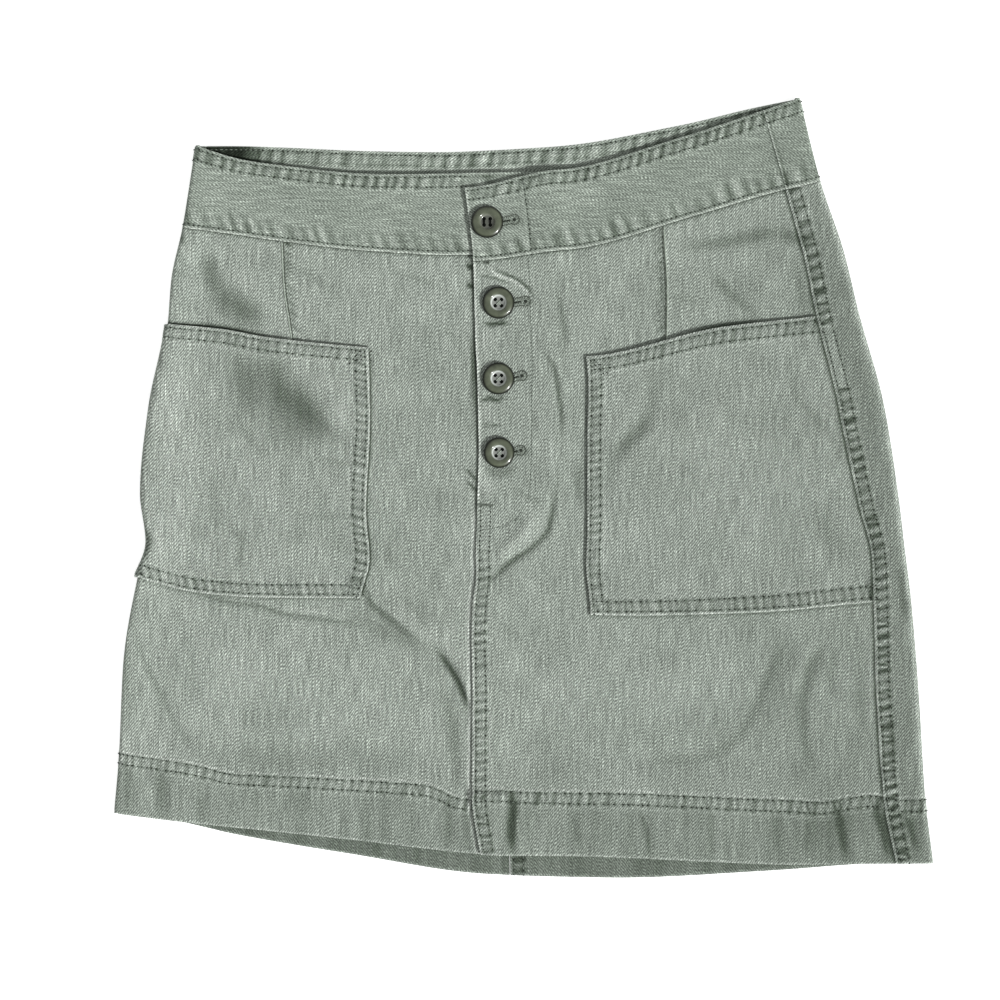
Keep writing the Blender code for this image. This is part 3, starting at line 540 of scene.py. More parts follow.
class Cloth:
    """A piece of cloth on the ring form, with relief and tone on both of its faces."""

    def __init__(self, name, columns, rows, wall, folds=(), **form):
        self.name, self.wall, self.form, self.sewing = name, wall, form, []
        rows = np.array(rows, float)
        self.drop = np.repeat(rows[:, None], len(columns), axis=1)
        self.share = np.stack([line(rows) for line, _ in columns], axis=1)
        self.turn = np.repeat(np.array([turn for _, turn in columns])[None, :], len(rows), axis=0)
        self.half = half_width(self.drop)
        place = ring_points(self.share, self.turn, self.drop, **form)
        self.x, self.y = place[..., 0], place[..., 1]
        self.on_top = np.where(self.turn < FRONT_TURN, 1.0, 0.0)
        self.beneath = np.where(self.turn >= 1.0, 1.0, 0.0)
        height, tone = folds_at(folds, self.x, self.y)
        self.relief = (height + 0.3 * wander_over(self.x, self.y, 26.0, 5)) * self.on_top
        # tone: the folds' painted shade and light, a random mottle, and painted light that falls off from
        # left to right
        self.tone = (tone * self.on_top + 0.12 * wander_over(self.x, self.y, 31.0, 6)
                     - 0.0009 * self.x)
        self.lift, self.lining_lift, self.grooves = np.zeros((3, *self.share.shape))
        self.lining_tone = 0.15 * wander_over(self.x, self.y, 24.0, 8)

    def right_of(self, line):
        """Distance to the right of a line."""
        return (self.share - line(self.drop)) * self.half

    def below(self, drop):
        return self.drop - drop

    def add(self, lift, tone, inside=False):
        if inside:
            self.lining_lift += lift
            self.lining_tone += tone
        else:
            self.lift += lift
            self.tone += tone

    def topstitch(self, across, along, seed, within=1.0, rows=(ROW_1, ROW_2), ridge=1.0,
                  pitch=2.7, bar=1.45, inside=False):
        """A folded edge sewn down with rows of stitches: a worn ridge, puckers, and grooves, with painted
        light and shade.
        """
        across = across + 0.25 * wander(along, 22.0, seed + 40)
        last = rows[-1]
        body = ease(across / 0.8) * ease((last + 2.4 - across) / 2.4)
        bars = puckers(along + 0.22 * across, pitch, seed)
        between = ease((across - 0.8) / 1.2) * ease((last + 2.6 - across) / 2.6)
        groove = sum(hump(across - row, 1.2) for row in rows)
        if not inside:
            self.grooves = np.maximum(self.grooves, groove * within)
        relief = 0.42 * body - 0.26 * groove + 0.30 * bars * between
        # tone: a paler worn ridge at the edge, painted light and shade following the puckers, painted
        # shade in the grooves and over the sewn band, and a little painted light beyond the last row
        tone = (1.9 * ridge * hump(across - 0.6, 1.0) * (0.75 + 0.25 * wander(along, 5.0, seed + 9))
                - 0.30 * body - 0.70 * groove + bar * bars * between
                + 0.28 * hump(across - last - 2.3, 1.6))
        self.add(relief * within, tone * within, inside)

    def lie_flat(self):
        """Press the underside onto the table: its relief is all dents, deepest at the sewing."""
        dent = np.clip(0.55 * self.grooves - 0.5 * self.tone, 0.0, 0.65)
        dent = dent * ease(((1 - np.abs(self.share)) * self.half - FOLD_RADIUS) / 6.0)
        self.lift = np.where(self.beneath, -dent, self.lift * (1 - self.turn))

    def make(self, finish, slot, node, shift=0.0):
        """The closed mesh that replaces a node: two faces and a rim, weave map and tone."""
        outer = ring_points(self.share, self.turn, self.drop, self.lift + shift,
                            self.relief, **self.form)
        inner = ring_points(self.share, self.turn, self.drop,
                            shift - self.wall - self.lining_lift,
                            np.maximum(self.relief, -0.8), **self.form)
        self.outer, self.inner = outer, inner
        rows, cols = self.share.shape
        points = np.concatenate([outer.reshape(-1, 3), inner.reshape(-1, 3)]) * MM
        index = np.arange(rows * cols).reshape(rows, cols)
        quads = np.stack([index[:-1, :-1], index[1:, :-1], index[1:, 1:], index[:-1, 1:]], -1)
        quads = quads.reshape(-1, 4)
        rim = np.concatenate([index[0, :], index[1:, -1], index[-1, -2::-1], index[-2::-1, 0]])
        below = rows * cols
        skirting = np.stack([rim[:-1], rim[1:], rim[1:] + below, rim[:-1] + below], -1)
        faces = np.concatenate([quads, quads[:, ::-1] + below, skirting])
        mesh = bpy.data.meshes.new(self.name)
        mesh.from_pydata(points.tolist(), [], faces.tolist())
        tone = np.concatenate([self.tone.ravel(), self.lining_tone.ravel()])
        mesh.attributes.new("tone", "FLOAT", "POINT").data.foreach_set("value", tone)
        side = np.sign(self.share)
        round_fold = (math.pi * self.turn - np.sin(math.pi * self.turn)) * FOLD_RADIUS
        on_flat = np.where(self.beneath, UNDERSIDE_MAP * side - self.x, self.x)
        flat_map, fold_map = [np.tile(np.stack([across.ravel(), self.y.ravel()], -1) * MM, (2, 1))
                              for across in (on_flat, self.x + side * round_fold)]
        bent = np.concatenate([np.tile(self.turn[0, :-1] != self.turn[0, 1:], 2 * (rows - 1)),
                               np.zeros(len(skirting), bool)])
        corners = np.empty(len(mesh.loops), int)
        mesh.loops.foreach_get("vertex_index", corners)
        weave = np.where(np.repeat(bent, 4)[:, None], fold_map[corners], flat_map[corners])
        inner_edge = weave[-4 * len(skirting):].reshape(-1, 4, 2)[:, 2:]
        inner_edge += WALL * MM
        mesh.uv_layers.new(name="weave").data.foreach_set("uv", weave.ravel())
        mesh.shade_smooth()
        mesh.set_sharp_from_angle(angle=math.radians(55))
        mesh.materials.append(finish)
        self.piece, self.slot = placed(self.name, mesh), slot
        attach(self.piece, "root")
        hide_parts(node)

    def trace(self, rows, cols, inside=False):
        """Points and outward directions on a face, at these fractional rows and columns."""
        face = self.inner if inside else self.outer
        way = np.cross(np.gradient(face, axis=1), np.gradient(face, axis=0))
        way = way / np.linalg.norm(way, axis=-1, keepdims=True) * (1 if inside else -1)
        rows = np.clip(rows, 0, face.shape[0] - 1.001)
        cols = np.clip(cols, 0, face.shape[1] - 1.001)
        row, col = rows.astype(int), cols.astype(int)
        down, over = (rows - row)[:, None], (cols - col)[:, None]
        found = []
        for grid in (face, way):
            upper = grid[row, col] * (1 - over) + grid[row, col + 1] * over
            lower = grid[row + 1, col] * (1 - over) + grid[row + 1, col + 1] * over
            found.append(upper * (1 - down) + lower * down)
        return found

    def row_at(self, drop):
        return np.interp(drop, self.drop[:, 0], np.arange(self.drop.shape[0]))

    def across(self, drop, keep=None, inside=False):
        """A row of sewing across the piece at a drop, or at a drop for each column."""
        cols = np.arange(self.share.shape[1])
        middle = int(np.clip(round(float(np.mean(self.row_at(drop)))), 0, self.share.shape[0] - 1))
        chosen = np.ones(cols.shape, bool) if keep is None else keep[middle]
        drop = np.broadcast_to(drop, cols.shape)
        return self.trace(self.row_at(drop)[chosen], cols[chosen].astype(float), inside)

    def stroke(self, share, drop, turn=0.0, inside=False):
        """A row of sewing through these shares and drops on one of the piece's flat faces."""
        share, drop = np.asarray(share, float), np.asarray(drop, float)
        steps = np.hypot(np.diff(share) * USUAL_HALF, np.diff(drop))
        far = np.concatenate([[0.0], np.cumsum(steps)])
        fine = np.linspace(0.0, far[-1], max(2, int(far[-1] / SEWING_STEP)))
        share, drop = np.interp(fine, far, share), np.interp(fine, far, drop)
        cols = np.where(self.turn[0] == turn)[0]
        rows = self.row_at(drop)
        places = []
        for row, wanted in zip(rows, share):
            ladder = self.share[min(int(round(row)), self.share.shape[0] - 1), cols]
            order = np.argsort(ladder)
            places.append(np.interp(wanted, ladder[order], cols[order]))
        return self.trace(rows, np.array(places), inside)

    def down(self, line, top, foot, turn=0.0, inside=False):
        """A row of sewing down the piece along a line."""
        drop = np.arange(top, foot, SEWING_STEP)
        return self.stroke(line(drop), drop, turn, inside)


class Socket:
    """A value of a node graph that takes part in sums."""

    def __init__(self, graph, link):
        self.graph, self.link = graph, link

    def __add__(self, other):
        return self.graph.maths("ADD", self, other)

    def __sub__(self, other):
        return self.graph.maths("SUBTRACT", self, other)

    def __rsub__(self, other):
        return self.graph.maths("SUBTRACT", other, self)

    def __mul__(self, other):
        return self.graph.maths("MULTIPLY", self, other)

    __radd__, __rmul__ = __add__, __mul__

    def between(self, low, high):
        """0 at the low value, 1 at the high one, and even between."""
        return self.graph.node("ShaderNodeMapRange", {},
                               {"Value": self, "From Min": low, "From Max": high})


class Graph:
    """A node graph being built: each node takes its type, its settings and its sockets."""

    def __init__(self, tree):
        self.tree = tree

    def node(self, kind, settings=(), sockets=(), output=0):
        made = self.tree.nodes.new(kind)
        for key, value in dict(settings).items():
            setattr(made, key, value)
        for key, value in dict(sockets).items():
            if isinstance(value, Socket):
                self.tree.links.new(value.link, made.inputs[key])
            else:
                made.inputs[key].default_value = value
        return Socket(self, made.outputs[output] if len(made.outputs) else None)

    def also(self, socket, output):
        """Another output of the node that a value comes from."""
        return Socket(self, socket.link.node.outputs[output])

    def maths(self, operation, *values):
        return self.node("ShaderNodeMath", {"operation": operation}, dict(enumerate(values)))

    def combine(self, x, y, z=0.0):
        return self.node("ShaderNodeCombineXYZ", {}, {"X": x, "Y": y, "Z": z})


class Finish(Graph):
    """A material being built."""

    def __init__(self, name):
        self.material = bpy.data.materials.new(name)
        self.material.use_nodes = True
        super().__init__(self.material.node_tree)
        self.tree.nodes.clear()

    def surface(self, height, strength, distance, sockets):
        """The finished material, with a bump of this height."""
        bump = self.node("ShaderNodeBump", {}, {"Strength": strength, "Distance": distance,
                                                "Height": height})
        shader = self.node("ShaderNodeBsdfPrincipled", {}, {**sockets, "Normal": bump})
        self.node("ShaderNodeOutputMaterial", {}, {"Surface": shader})
        return self.material

    def noise(self, vector, scale, detail=2.0, roughness=0.5):
        """Noise about 0."""
        return self.node("ShaderNodeTexNoise", {"noise_dimensions": "3D"},
                         {"Vector": vector, "Scale": scale, "Detail": detail,
                          "Roughness": roughness}) - 0.5

    def blend(self, factor, first, second, mode="MIX"):
        return self.node("ShaderNodeMix", {"data_type": "RGBA", "blend_type": mode},
                         {0: factor, 6: first, 7: second}, output=2)


def washed_twill(name, middle, contrast=0.44, crosswise=False):
    """Washed twill: steep diagonal wales and streaky warp, coloured by the tone: paler for worn edges and
    painted light, darker and greener for painted shade.
    """
    worn_and_lit, deep = [tuple(value * share for value, share in zip(middle, shares))
                   for shares in ((1.75, 1.68, 1.74), (0.27, 0.30, 0.26))]
    finish = Finish(name)
    weave = finish.node("ShaderNodeUVMap", {"uv_map": "weave"})
    across = finish.node("ShaderNodeSeparateXYZ", {}, {0: weave})
    along = finish.also(across, 1) * 1000
    across = across * 1000
    if crosswise:
        across, along = along, across * -1
    plane = finish.combine(across, along)
    jitter = finish.noise(finish.combine(across * 0.8, along * 0.04), 1.0, 0.0) * 0.9
    jitter = jitter + finish.noise(plane, 0.08, 2.0) * 1.2
    wale = finish.maths("SINE", (across * 0.61 - along * 0.46 + jitter) * (2 * math.pi))
    streak = finish.noise(finish.combine(across * 1.4, along * 0.06), 1.0, 1.0)
    fibre = finish.noise(finish.combine(across * 1.0, along * 0.8), 1.0, 0.0)
    slub = finish.noise(finish.combine(across * 0.3, along * 0.016), 1.0, 3.0)
    cloud = finish.noise(plane, 0.03, 3.0)
    tone = finish.node("ShaderNodeAttribute", {"attribute_name": "tone"}, output=2)
    tone = tone * (streak * 1.4 + 1.0) + slub * 0.9 + cloud * 0.8 + streak * 0.5
    # tones below -1.8 go towards near black: painted contact shadow
    colour = finish.blend(tone.between(-3.4, -1.8), (0.010, 0.014, 0.009, 1.0), (*deep, 1.0))
    colour = finish.blend(tone.between(-1.8, 0.0), colour, (*middle, 1.0))
    colour = finish.blend(tone.between(0.0, 1.8), colour, (*worn_and_lit, 1.0))
    grain = finish.maths("POWER", math.e, wale * contrast + streak * 1.2 + fibre * 1.4 - 0.09)
    colour = finish.blend(1.0, colour, finish.combine(grain, grain, grain), "MULTIPLY")
    return finish.surface(wale * 0.8 + fibre * 0.8 + streak * 1.2, 0.6, 0.18 * MM,
                          {"Base Color": colour, "Roughness": 0.92, "Specular IOR Level": 0.15})


panel_twill = washed_twill("panel_twill", (0.228, 0.258, 0.226))

FOLD_STEPS = 12
fold_turns = [step / FOLD_STEPS for step in range(1, FOLD_STEPS)]
right_fold = flat([at_share(1.0)]) + [(at_share(1.0), turn) for turn in fold_turns]
right_fold += flat([at_share(1.0)], 1.0)
left_fold = flat([under_end], 1.0) + flat([at_share(-1.0)], 1.0)
left_fold += [(at_share(-1.0), turn) for turn in fold_turns[::-1]] + flat([at_share(-1.0)])

strip_start = beside(side_seam, GAP / 2)
strip_edge = from_edge(strip_start, near_edge(11.0, 12))
right_strip = flat(strip_edge + columns_between(strip_edge[-1], at_share(1.0), 1.6))
back_seam_right = beside(at_share(CENTRE_BACK), GAP / 2)
back_seam_left = beside(at_share(CENTRE_BACK), -GAP / 2)
seam_edge_right = from_edge(back_seam_right, near_edge(11.0, 9))
right_back = flat(columns_between(at_share(1.0), seam_edge_right[-1], 3.0)
                  + seam_edge_right[::-1], 1.0)
left_seam = beside(under_end, GAP)
left_seam_edge = from_edge(left_seam, near_edge(11.0, 9))
left_back = flat([back_seam_left] + columns_between(back_seam_left, left_seam_edge[-1], 3.0)
                 + left_seam_edge[::-1], 1.0)

BESIDE_EDGE = (-0.6, 0.1, 0.6, 1.1, 1.7, 2.6, 4.0)      # the fine rows off a pocket's edge
panel_rows = (from_edge(panel_top, near_edge(8.0, 7))
              + evenly(panel_top + 8.0, mouth - 4.0, 1.75)
              + up_to_edge(mouth, BESIDE_EDGE)
              + evenly(mouth + 0.6, foot - 0.6, 1.75)
              + from_edge(foot, BESIDE_EDGE)
              + evenly(foot + 4.0, HEM_LINE - 8.0, 1.75) + [HEM_LINE - 8.0]
              + evenly(HEM_LINE - 8.0, HEM_LINE + 11.0, 0.95) + [HEM_LINE + 11.0]
              + evenly(HEM_LINE + 11.0, hem_edge - 2.0, 2.0)
              + up_to_edge(hem_edge, near_edge(2.0, 4)))


def hem_rise(x):
    """How far the hem's sewn line stands above its ring, at these places."""
    return smooth([row[0] for row in HEM_WAVE], [row[1] for row in HEM_WAVE],
                  np.ravel(x)).reshape(np.shape(x))


UNDER_PITCH = 4.8       # the underside's puckers are coarser, as its columns are


def doubled_hem(piece):
    """The wall grows inwards to two layers below the hem's sewn line."""
    piece.lining_lift += (DOUBLE - WALL) * ease((piece.below(HEM_LINE) + 1.0) / 1.5)


def turned_up_hem(piece, seed, inside=False):
    """The turned-up hem: two rows of stitches below its fold, a band darkened with painted shade, and a
    worn lower edge.
    """
    rise = piece.below(HEM_LINE) + hem_rise(piece.x)
    piece.topstitch(rise, piece.x, seed, pitch=np.where(piece.beneath, UNDER_PITCH, 2.7),
                    bar=1.15, inside=inside)
    in_hem = ease((rise - 7.0) / 4.0)
    # the hem band: painted shade with a random mottle, and a paler worn lower edge
    piece.add(0.10 * in_hem * wander(piece.x, 9.0, seed + 3),
              in_hem * (-0.50 + 0.22 * wander(piece.x, 5.0, seed + 4))
              + 1.0 * hump(piece.below(hem_edge - 0.4), 1.2), inside)


def seam_rows(piece, line, seed, within=1.0, **sewing):
    """A lapped seam's two rows of stitches, to the right of its line."""
    piece.topstitch(piece.right_of(line), piece.drop, seed, within, **sewing)


BACK_FOLDS = (
    # the underside's creases, as tones of painted shade (painted light on the swell); each dents the
    # cloth upwards, off the table
    ("seat_crease_1", 9, 14, 0.0, -0.5, (-150, 120, -110, 60, -96, 10)),
    ("seat_crease_2", 8, 12, 0.0, -0.45, (120, 96, 84, 30, 70, -30)),
    ("seat_crease_3", 6, 9, 0.0, -0.5, (-60, -70, -20, -110, -4, -160)),
    ("seat_crease_4", 10, 12, 0.0, -0.4, (190, -60, 150, -110, 140, -160)),
    ("seat_crease_5", 12, 10, 0.0, -0.4, (-200, -40, -170, -100, -176, -150)),
    ("seat_swell", 40, 40, 0.0, 0.3, (-120, -40, 0, 20, 90, -70)),
)
WELT_TOP, WELT_FOOT = 117.0, 153.0      # drops between which the side seam is bound smooth
back_right = Cloth("back_right_panel", right_strip + right_fold + right_back, panel_rows, WALL,
                   FOLDS)
back_left = Cloth("back_left_panel", left_back, panel_rows, WALL)
under, on_front = back_right.beneath, back_right.on_top
in_welt = ease((back_right.drop - WELT_TOP) / 3.0) * ease((WELT_FOOT - back_right.drop) / 3.0)
seam_rows(back_right, strip_start, 11, within=on_front * (1 - in_welt), bar=1.8)
from_seam = back_right.right_of(strip_start)
# the welt: paler, with a worn edge, and painted shade in its stitch groove and beyond its far edge
welt_tone = (0.35 * ease((from_seam - 1.6) / 1.5) * ease((8.2 - from_seam) / 1.6)
             + 1.3 * hump(from_seam - 0.6, 1.0) - 0.5 * hump(from_seam - 2.3, 1.2)
             - 0.6 * hump(from_seam - 8.6, 1.4))
back_right.add(0.25 * in_welt * on_front * ease(from_seam / 2.0) * ease((9.5 - from_seam) / 2.0),
               in_welt * on_front * welt_tone)
# painted shade over the strip of back that shows on the front, and a paler worn line along its fold
back_right.add(0.0, on_front * (-0.30 + 0.8 * ease((back_right.share - 0.975) / 0.025)))
seam_rows(back_right, back_seam_right, 31, within=under)
seam_rows(back_right, back_seam_right, 33, inside=True, within=0.9 * under)
seam_rows(back_left, left_seam, 35)
for piece, node, seed in ((back_right, "back_right", 21), (back_left, "back_left", 22)):
    turned_up_hem(piece, seed)
    turned_up_hem(piece, seed + 4, inside=True)
    piece.tone += folds_at(BACK_FOLDS, piece.x, piece.y)[1] * piece.beneath
    piece.lie_flat()
    piece.lining_lift *= 0.8
    doubled_hem(piece)
    # painted shade over the back panels' inner face, which lies under the front
    piece.lining_tone -= 0.75
    piece.make(panel_twill, "sage_twill", node)


# ---------------------------------------------------------------- front panels
# Two darted panels of the same twill.  The left one goes round the left side fold and runs
# on under the right one, which laps over it as the placket and then as the centre seam.
left_columns = (left_fold
                + flat(columns_between(at_share(-1.0), beside(pocket_left_edge, -0.6), 1.75)
                       + from_edge(pocket_left_edge, BESIDE_EDGE)
                       + columns_between(beside(pocket_left_edge, 4.0), beside(placket, -9.0), 1.75)
                       + up_to_edge(placket, near_edge(9.0, 9))
                       + columns_between(placket, lap_end, 4.0) + [lap_end]))
front_left = Cloth("front_left_panel", left_columns, panel_rows, WALL, FOLDS)
placket_edge = from_edge(placket, near_edge(11.0, 12))
seam_end = beside(side_seam, -GAP / 2)
right_columns = flat(placket_edge
                     + columns_between(placket_edge[-1], beside(pocket_right_edge, -4.0), 1.75)
                     + up_to_edge(pocket_right_edge, BESIDE_EDGE)
                     + columns_between(beside(pocket_right_edge, 0.6), beside(seam_end, -4.0), 1.75)
                     + up_to_edge(seam_end, near_edge(4.0, 4)))
front_right = Cloth("front_right_panel", right_columns, panel_rows, WALL, FOLDS, over_lap=True)

FLY_END = 204.0         # drop of the placket's foot, where the centre seam begins


def dart_line(top_share, foot_share):
    """A dart's fold, from a share at the waistband to a share at the pocket."""
    top = DROP_OF["waist_seam"]
    return lambda drop: (top_share + (foot_share - top_share)
                         * np.clip((drop - top) / (mouth - top), 0, 1))


DARTS = (
    # piece, line, seed, side of its puckers and stitches
    (front_left, dart_line(-0.688, -0.641), 71, 1),
    (front_right, dart_line(0.5086, 0.4448), 72, -1),
)
for piece, line, seed, side in DARTS:
    across = piece.right_of(line) * side
    within = ease((mouth + 2.0 - piece.drop) / 4.0)
    ripples = puckers(piece.drop - 0.6 * across, 2.6, seed) * hump(across - 4.0, 4.5)
    # the dart's fold paler, painted shade beside it, and painted light and shade on its ripples
    piece.add(within * (0.30 * hump(across, 2.2) + 0.14 * ripples),
              within * (0.7 * hump(across, 2.2) - 0.6 * hump(across - 2.6, 2.2) + 0.8 * ripples
                        - 0.3 * hump(across - 4.0, 5.0)))
for piece, seed in ((front_left, 51), (front_right, 61)):
    turned_up_hem(piece, seed)
    under_band = piece.below(panel_top)
    bars = puckers(piece.x, 3.4, seed + 2) * hump(under_band - 1.0, 10.0)
    # painted light and shade on the puckers below the band, and a line of painted shade just under the
    # band
    piece.add(0.08 * bars, 0.30 * bars - 0.9 * hump(under_band, 2.0))
    doubled_hem(piece)

# The right front's free edge, and its seam below.
edge = front_right.right_of(placket)
seam_rows(front_right, placket, 81, within=ease((front_right.drop - FLY_END - 22.0) / 14.0),
          ridge=1.5, bar=1.15)
front_right.add(0.0, 2.1 * hump(edge - 0.5, 1.2) * ease((FLY_END - front_right.drop) / 3.0))


def pocket_shade(piece, at_pocket, at_edge, close, wide):
    """Shadowed cloth round a pocket: beside its free edge, above its mouth, below its foot."""
    beside_pocket = ease((piece.drop - mouth) / 3.0) * ease((foot - piece.drop) / 3.0)
    above_mouth = -piece.below(mouth)
    piece.add(0.0, -at_edge * beside_pocket
              - at_pocket * (close * hump(above_mouth, 1.7) + wide * hump(above_mouth, 4.4))
              - 0.7 * at_pocket * hump(piece.below(foot) - 0.5, 2.2))


edge = front_right.right_of(pocket_right_edge)
clear_of_seam = ease((seam_end(front_right.drop) - front_right.share) * 60)
pocket_shade(front_right, ease((edge + 1.0) / 1.6) * clear_of_seam,
             0.5 * hump(edge + 0.1, 1.5) + 0.1 * hump(edge, 4.2),
             0.5, 0.2 + 1.6 * hump(front_right.x - 125.0, 34.0))
# painted shade along the front's edge at the side seam
front_right.add(0.0, -1.5 * hump(front_right.right_of(seam_end) + 0.3, 1.7))
edge = front_left.right_of(pocket_left_edge)
pocket_shade(front_left, ease((0.6 - edge) / 1.6),
             1.8 * hump(edge - 0.1, 1.5) + 0.4 * hump(edge, 3.4),
             0.3 + 2.0 * hump(front_left.x + 214.0, 48.0),
             0.2 + 1.9 * hump(front_left.x + 186.0, 50.0))
edge = front_left.right_of(placket)
# Painted shadow beside the placket's edge above the hip; below it, painted light that offsets the lamp's
# cast shadow beside the lapped seam.
shadow = ease((DROP_OF["hip_lower"] + 2.0 - front_left.drop) / 14.0)
front_left.add(0.0, -(0.9 * hump(edge, 1.8) + 0.9 * hump(edge, 5.0)
                      * (0.7 + 0.4 * wander(front_left.drop, 7.0, 83))) * shadow
               + (1.3 * hump(edge + 1.8, 2.2) - 0.3 * hump(edge, 1.0)) * (1 - shadow))
front_left.lift *= ease(-edge / 1.2)
front_left.lie_flat()

front_left.make(panel_twill, "sage_twill", "front_left")
front_right.make(panel_twill, "sage_twill", "front_right")


# ---------------------------------------------------------------- waistband
# A shaped band, doubled and cut lengthwise, in three lengths joined at the side seams.  Two
# rows of topstitching run below its upper edge and one along the seam at its foot.
band_twill = washed_twill("band_twill", (0.208, 0.240, 0.205), 0.42, crosswise=True)
band_foot = DROP_OF["waist_seam"]
band_rows = (near_edge(12.0, 14) + evenly(12.0, band_foot - 12.0, 1.7)
             + up_to_edge(band_foot, near_edge(12.0, 12)))
band_left = Cloth("waistband_front_left_band", left_columns, band_rows, DOUBLE, in_band=True)
BAND_FOLDS = (
    # tones only, of painted shade: round the buttonhole, and along drags from the button to the band's
    # foot
    ("buttonhole_shade", 4, 4, 0.0, -0.8, (-13, 163, 3, 164.5)),
    ("band_drag_1", 6, 6, 0.0, -0.35, (-6, 152, 2, 144)),
    ("band_drag_2", 4, 4, 0.0, -0.35, (10, 176, 22, 170)),
)
band_right = Cloth("waistband_front_right_band", right_columns, band_rows, DOUBLE, BAND_FOLDS,
                   in_band=True, over_lap=True)
whole_back = right_strip + right_fold + right_back + left_back
band_back = Cloth("waistband_back_band", whole_back, band_rows, DOUBLE, in_band=True)
BAND_ROWS = (2.2, 8.6)
FOOT_ROW = 2.5


def band_sewing(piece, seed, inside=False):
    """The band's puckered upper edge, and above its seam a worn ridge, puckers in painted light and
    shade, and painted shade in the foot row's groove.
    """
    piece.topstitch(piece.drop, piece.x, seed, rows=BAND_ROWS, ridge=0.6,
                    pitch=4.5 if inside else np.where(piece.beneath, UNDER_PITCH, 3.4),
                    inside=inside)
    rise = band_foot - piece.drop
    bars = puckers(piece.x + 0.35 * rise, 4.4, seed + 5)
    zone = ease((rise - 1.5) / 2.0) * ease((16.0 + 3.0 * wander(piece.x, 6.0, seed + 6) - rise) / 9.0)
    piece.add(0.14 * bars * zone + 0.24 * hump(rise - 0.7, 1.2) - 0.22 * hump(rise - FOOT_ROW, 1.0),
              zone * (1.15 * bars - 0.15) + 1.5 * hump(rise - 0.6, 1.1)
              - 0.9 * hump(rise - FOOT_ROW, 1.1), inside)


for piece, seed in ((band_left, 101), (band_right, 111), (band_back, 121)):
    band_sewing(piece, seed)
band_sewing(band_back, 131, inside=True)
edge = band_right.right_of(placket)
band_right.add(0.0, 1.8 * hump(edge - 0.5, 1.2))
band_row = beside(placket, 35.8)
across = band_right.right_of(band_row)
# painted shade in the row's groove and painted light on the cloth beside it
band_right.add(-0.2 * hump(across, 1.3), -0.7 * hump(across, 1.3) + 0.4 * hump(across + 1.8, 1.2))
edge = band_left.right_of(placket)
# painted light beside the placket, offsetting the cast shadow from the lapped band
band_left.add(0.0, 0.4 * hump(edge + 3.0, 5.0))
band_left.lift *= ease(-edge / 1.2)
band_left.lie_flat()
from_seam = band_back.right_of(strip_start)
# a worn ridge at the side seam's edge, and painted shade in the groove beside it
band_back.add(0.0, 1.2 * hump(from_seam - 0.5, 1.0) - 0.9 * hump(from_seam - 1.7, 1.2))
# painted shade along the band's edge at the side seam
band_right.add(0.0, -0.8 * hump(band_right.right_of(seam_end), 1.8))
# Painted shade on the back band's inside: along the opening under the front's waist edge, and a dark
# corner at its left end.
share, waist = band_back.share.ravel(), np.zeros(band_back.share.size)
part = (share + 1) / 2
front_top = (column(RINGS, 3, waist) * (1 - part) + column(RINGS, 5, waist) * part
             - dip(FRONT_DIPS, share, waist)
             - np.where(share > placket(waist), slip(share, waist), 0.0))
opening = band_back.y - front_top.reshape(band_back.y.shape)
corner = ease((-154.0 - band_back.x) / 24.0)
band_back.add(0.0, 0.25 - 1.2 * hump(opening, 3.0) - 3.6 * corner, inside=True)
band_back.lie_flat()
for piece, node in ((band_left, "waistband_front_left"), (band_right, "waistband_front_right"),
                    (band_back, "waistband_back")):
    piece.make(band_twill, "sage_band", node)


# ---------------------------------------------------------------- patch pockets
# Two large patches of the twill, hemmed at the mouth, turned under at the free edges, sewn
# down with two rows of stitches and caught in the side seams.  The mouths stand open a little.
pocket_twill = washed_twill("pocket_twill", (0.228, 0.257, 0.226))
POCKET_WALL = 1.5
MOUTH_GAPE = 0.9        # how far the mouth stands open at its middle
MOUTH_DEPTH = 26.0      # how far down the pocket that reaches
MOUTH_PUCKERS = 300.0   # sets the mouth's puckers off from the foot's
pocket_rows = (from_edge(mouth, near_edge(12.0, 13)) + evenly(mouth + 12.0, foot - 12.0, 1.75)
               + up_to_edge(foot, near_edge(12.0, 13)))
half_fold = [column_turn for column_turn in left_fold if column_turn[1] <= 0.5]
left_edge = up_to_edge(pocket_left_edge, near_edge(12.0, 12))
right_edge = from_edge(pocket_right_edge, near_edge(12.0, 12))
pocket_left_columns = half_fold + flat(columns_between(at_share(-1.0), left_edge[0], 1.75)
                                       + left_edge)
pocket_right_columns = flat(right_edge + columns_between(right_edge[-1], seam_end, 1.75)
                            + [seam_end])


def patch_pocket(name, node, columns, free_edge, inwards, seed, **form):
    """A patch pocket whose free edge is at a line; inwards is the way from it to the side."""
    piece = Cloth(name, columns, pocket_rows, POCKET_WALL, FOLDS, **form)
    from_free = inwards * piece.right_of(free_edge)
    from_mouth, from_foot = piece.below(mouth), -piece.below(foot)
    nearest = np.minimum(np.minimum(from_free, from_mouth), from_foot)
    along = np.where(from_free == nearest, piece.drop, piece.x)
    piece.topstitch(nearest, along + np.where(nearest == from_mouth, MOUTH_PUCKERS, 0.0), seed,
                    ridge=0.85, bar=1.0)
    across = np.linspace(0, 1, piece.share.shape[1])[None, :]
    gape = np.sin(math.pi * across) ** 2 * (1 - ease(from_mouth / MOUTH_DEPTH))
    if inwards > 0:
        # painted shade along the right pocket's edge at the side seam
        piece.add(0.0, -2.6 * hump(piece.right_of(seam_end) + 0.4, 1.8))
    piece.make(pocket_twill, "sage_pocket", node, GAP + POCKET_WALL + MOUTH_GAPE * gape)
    return piece


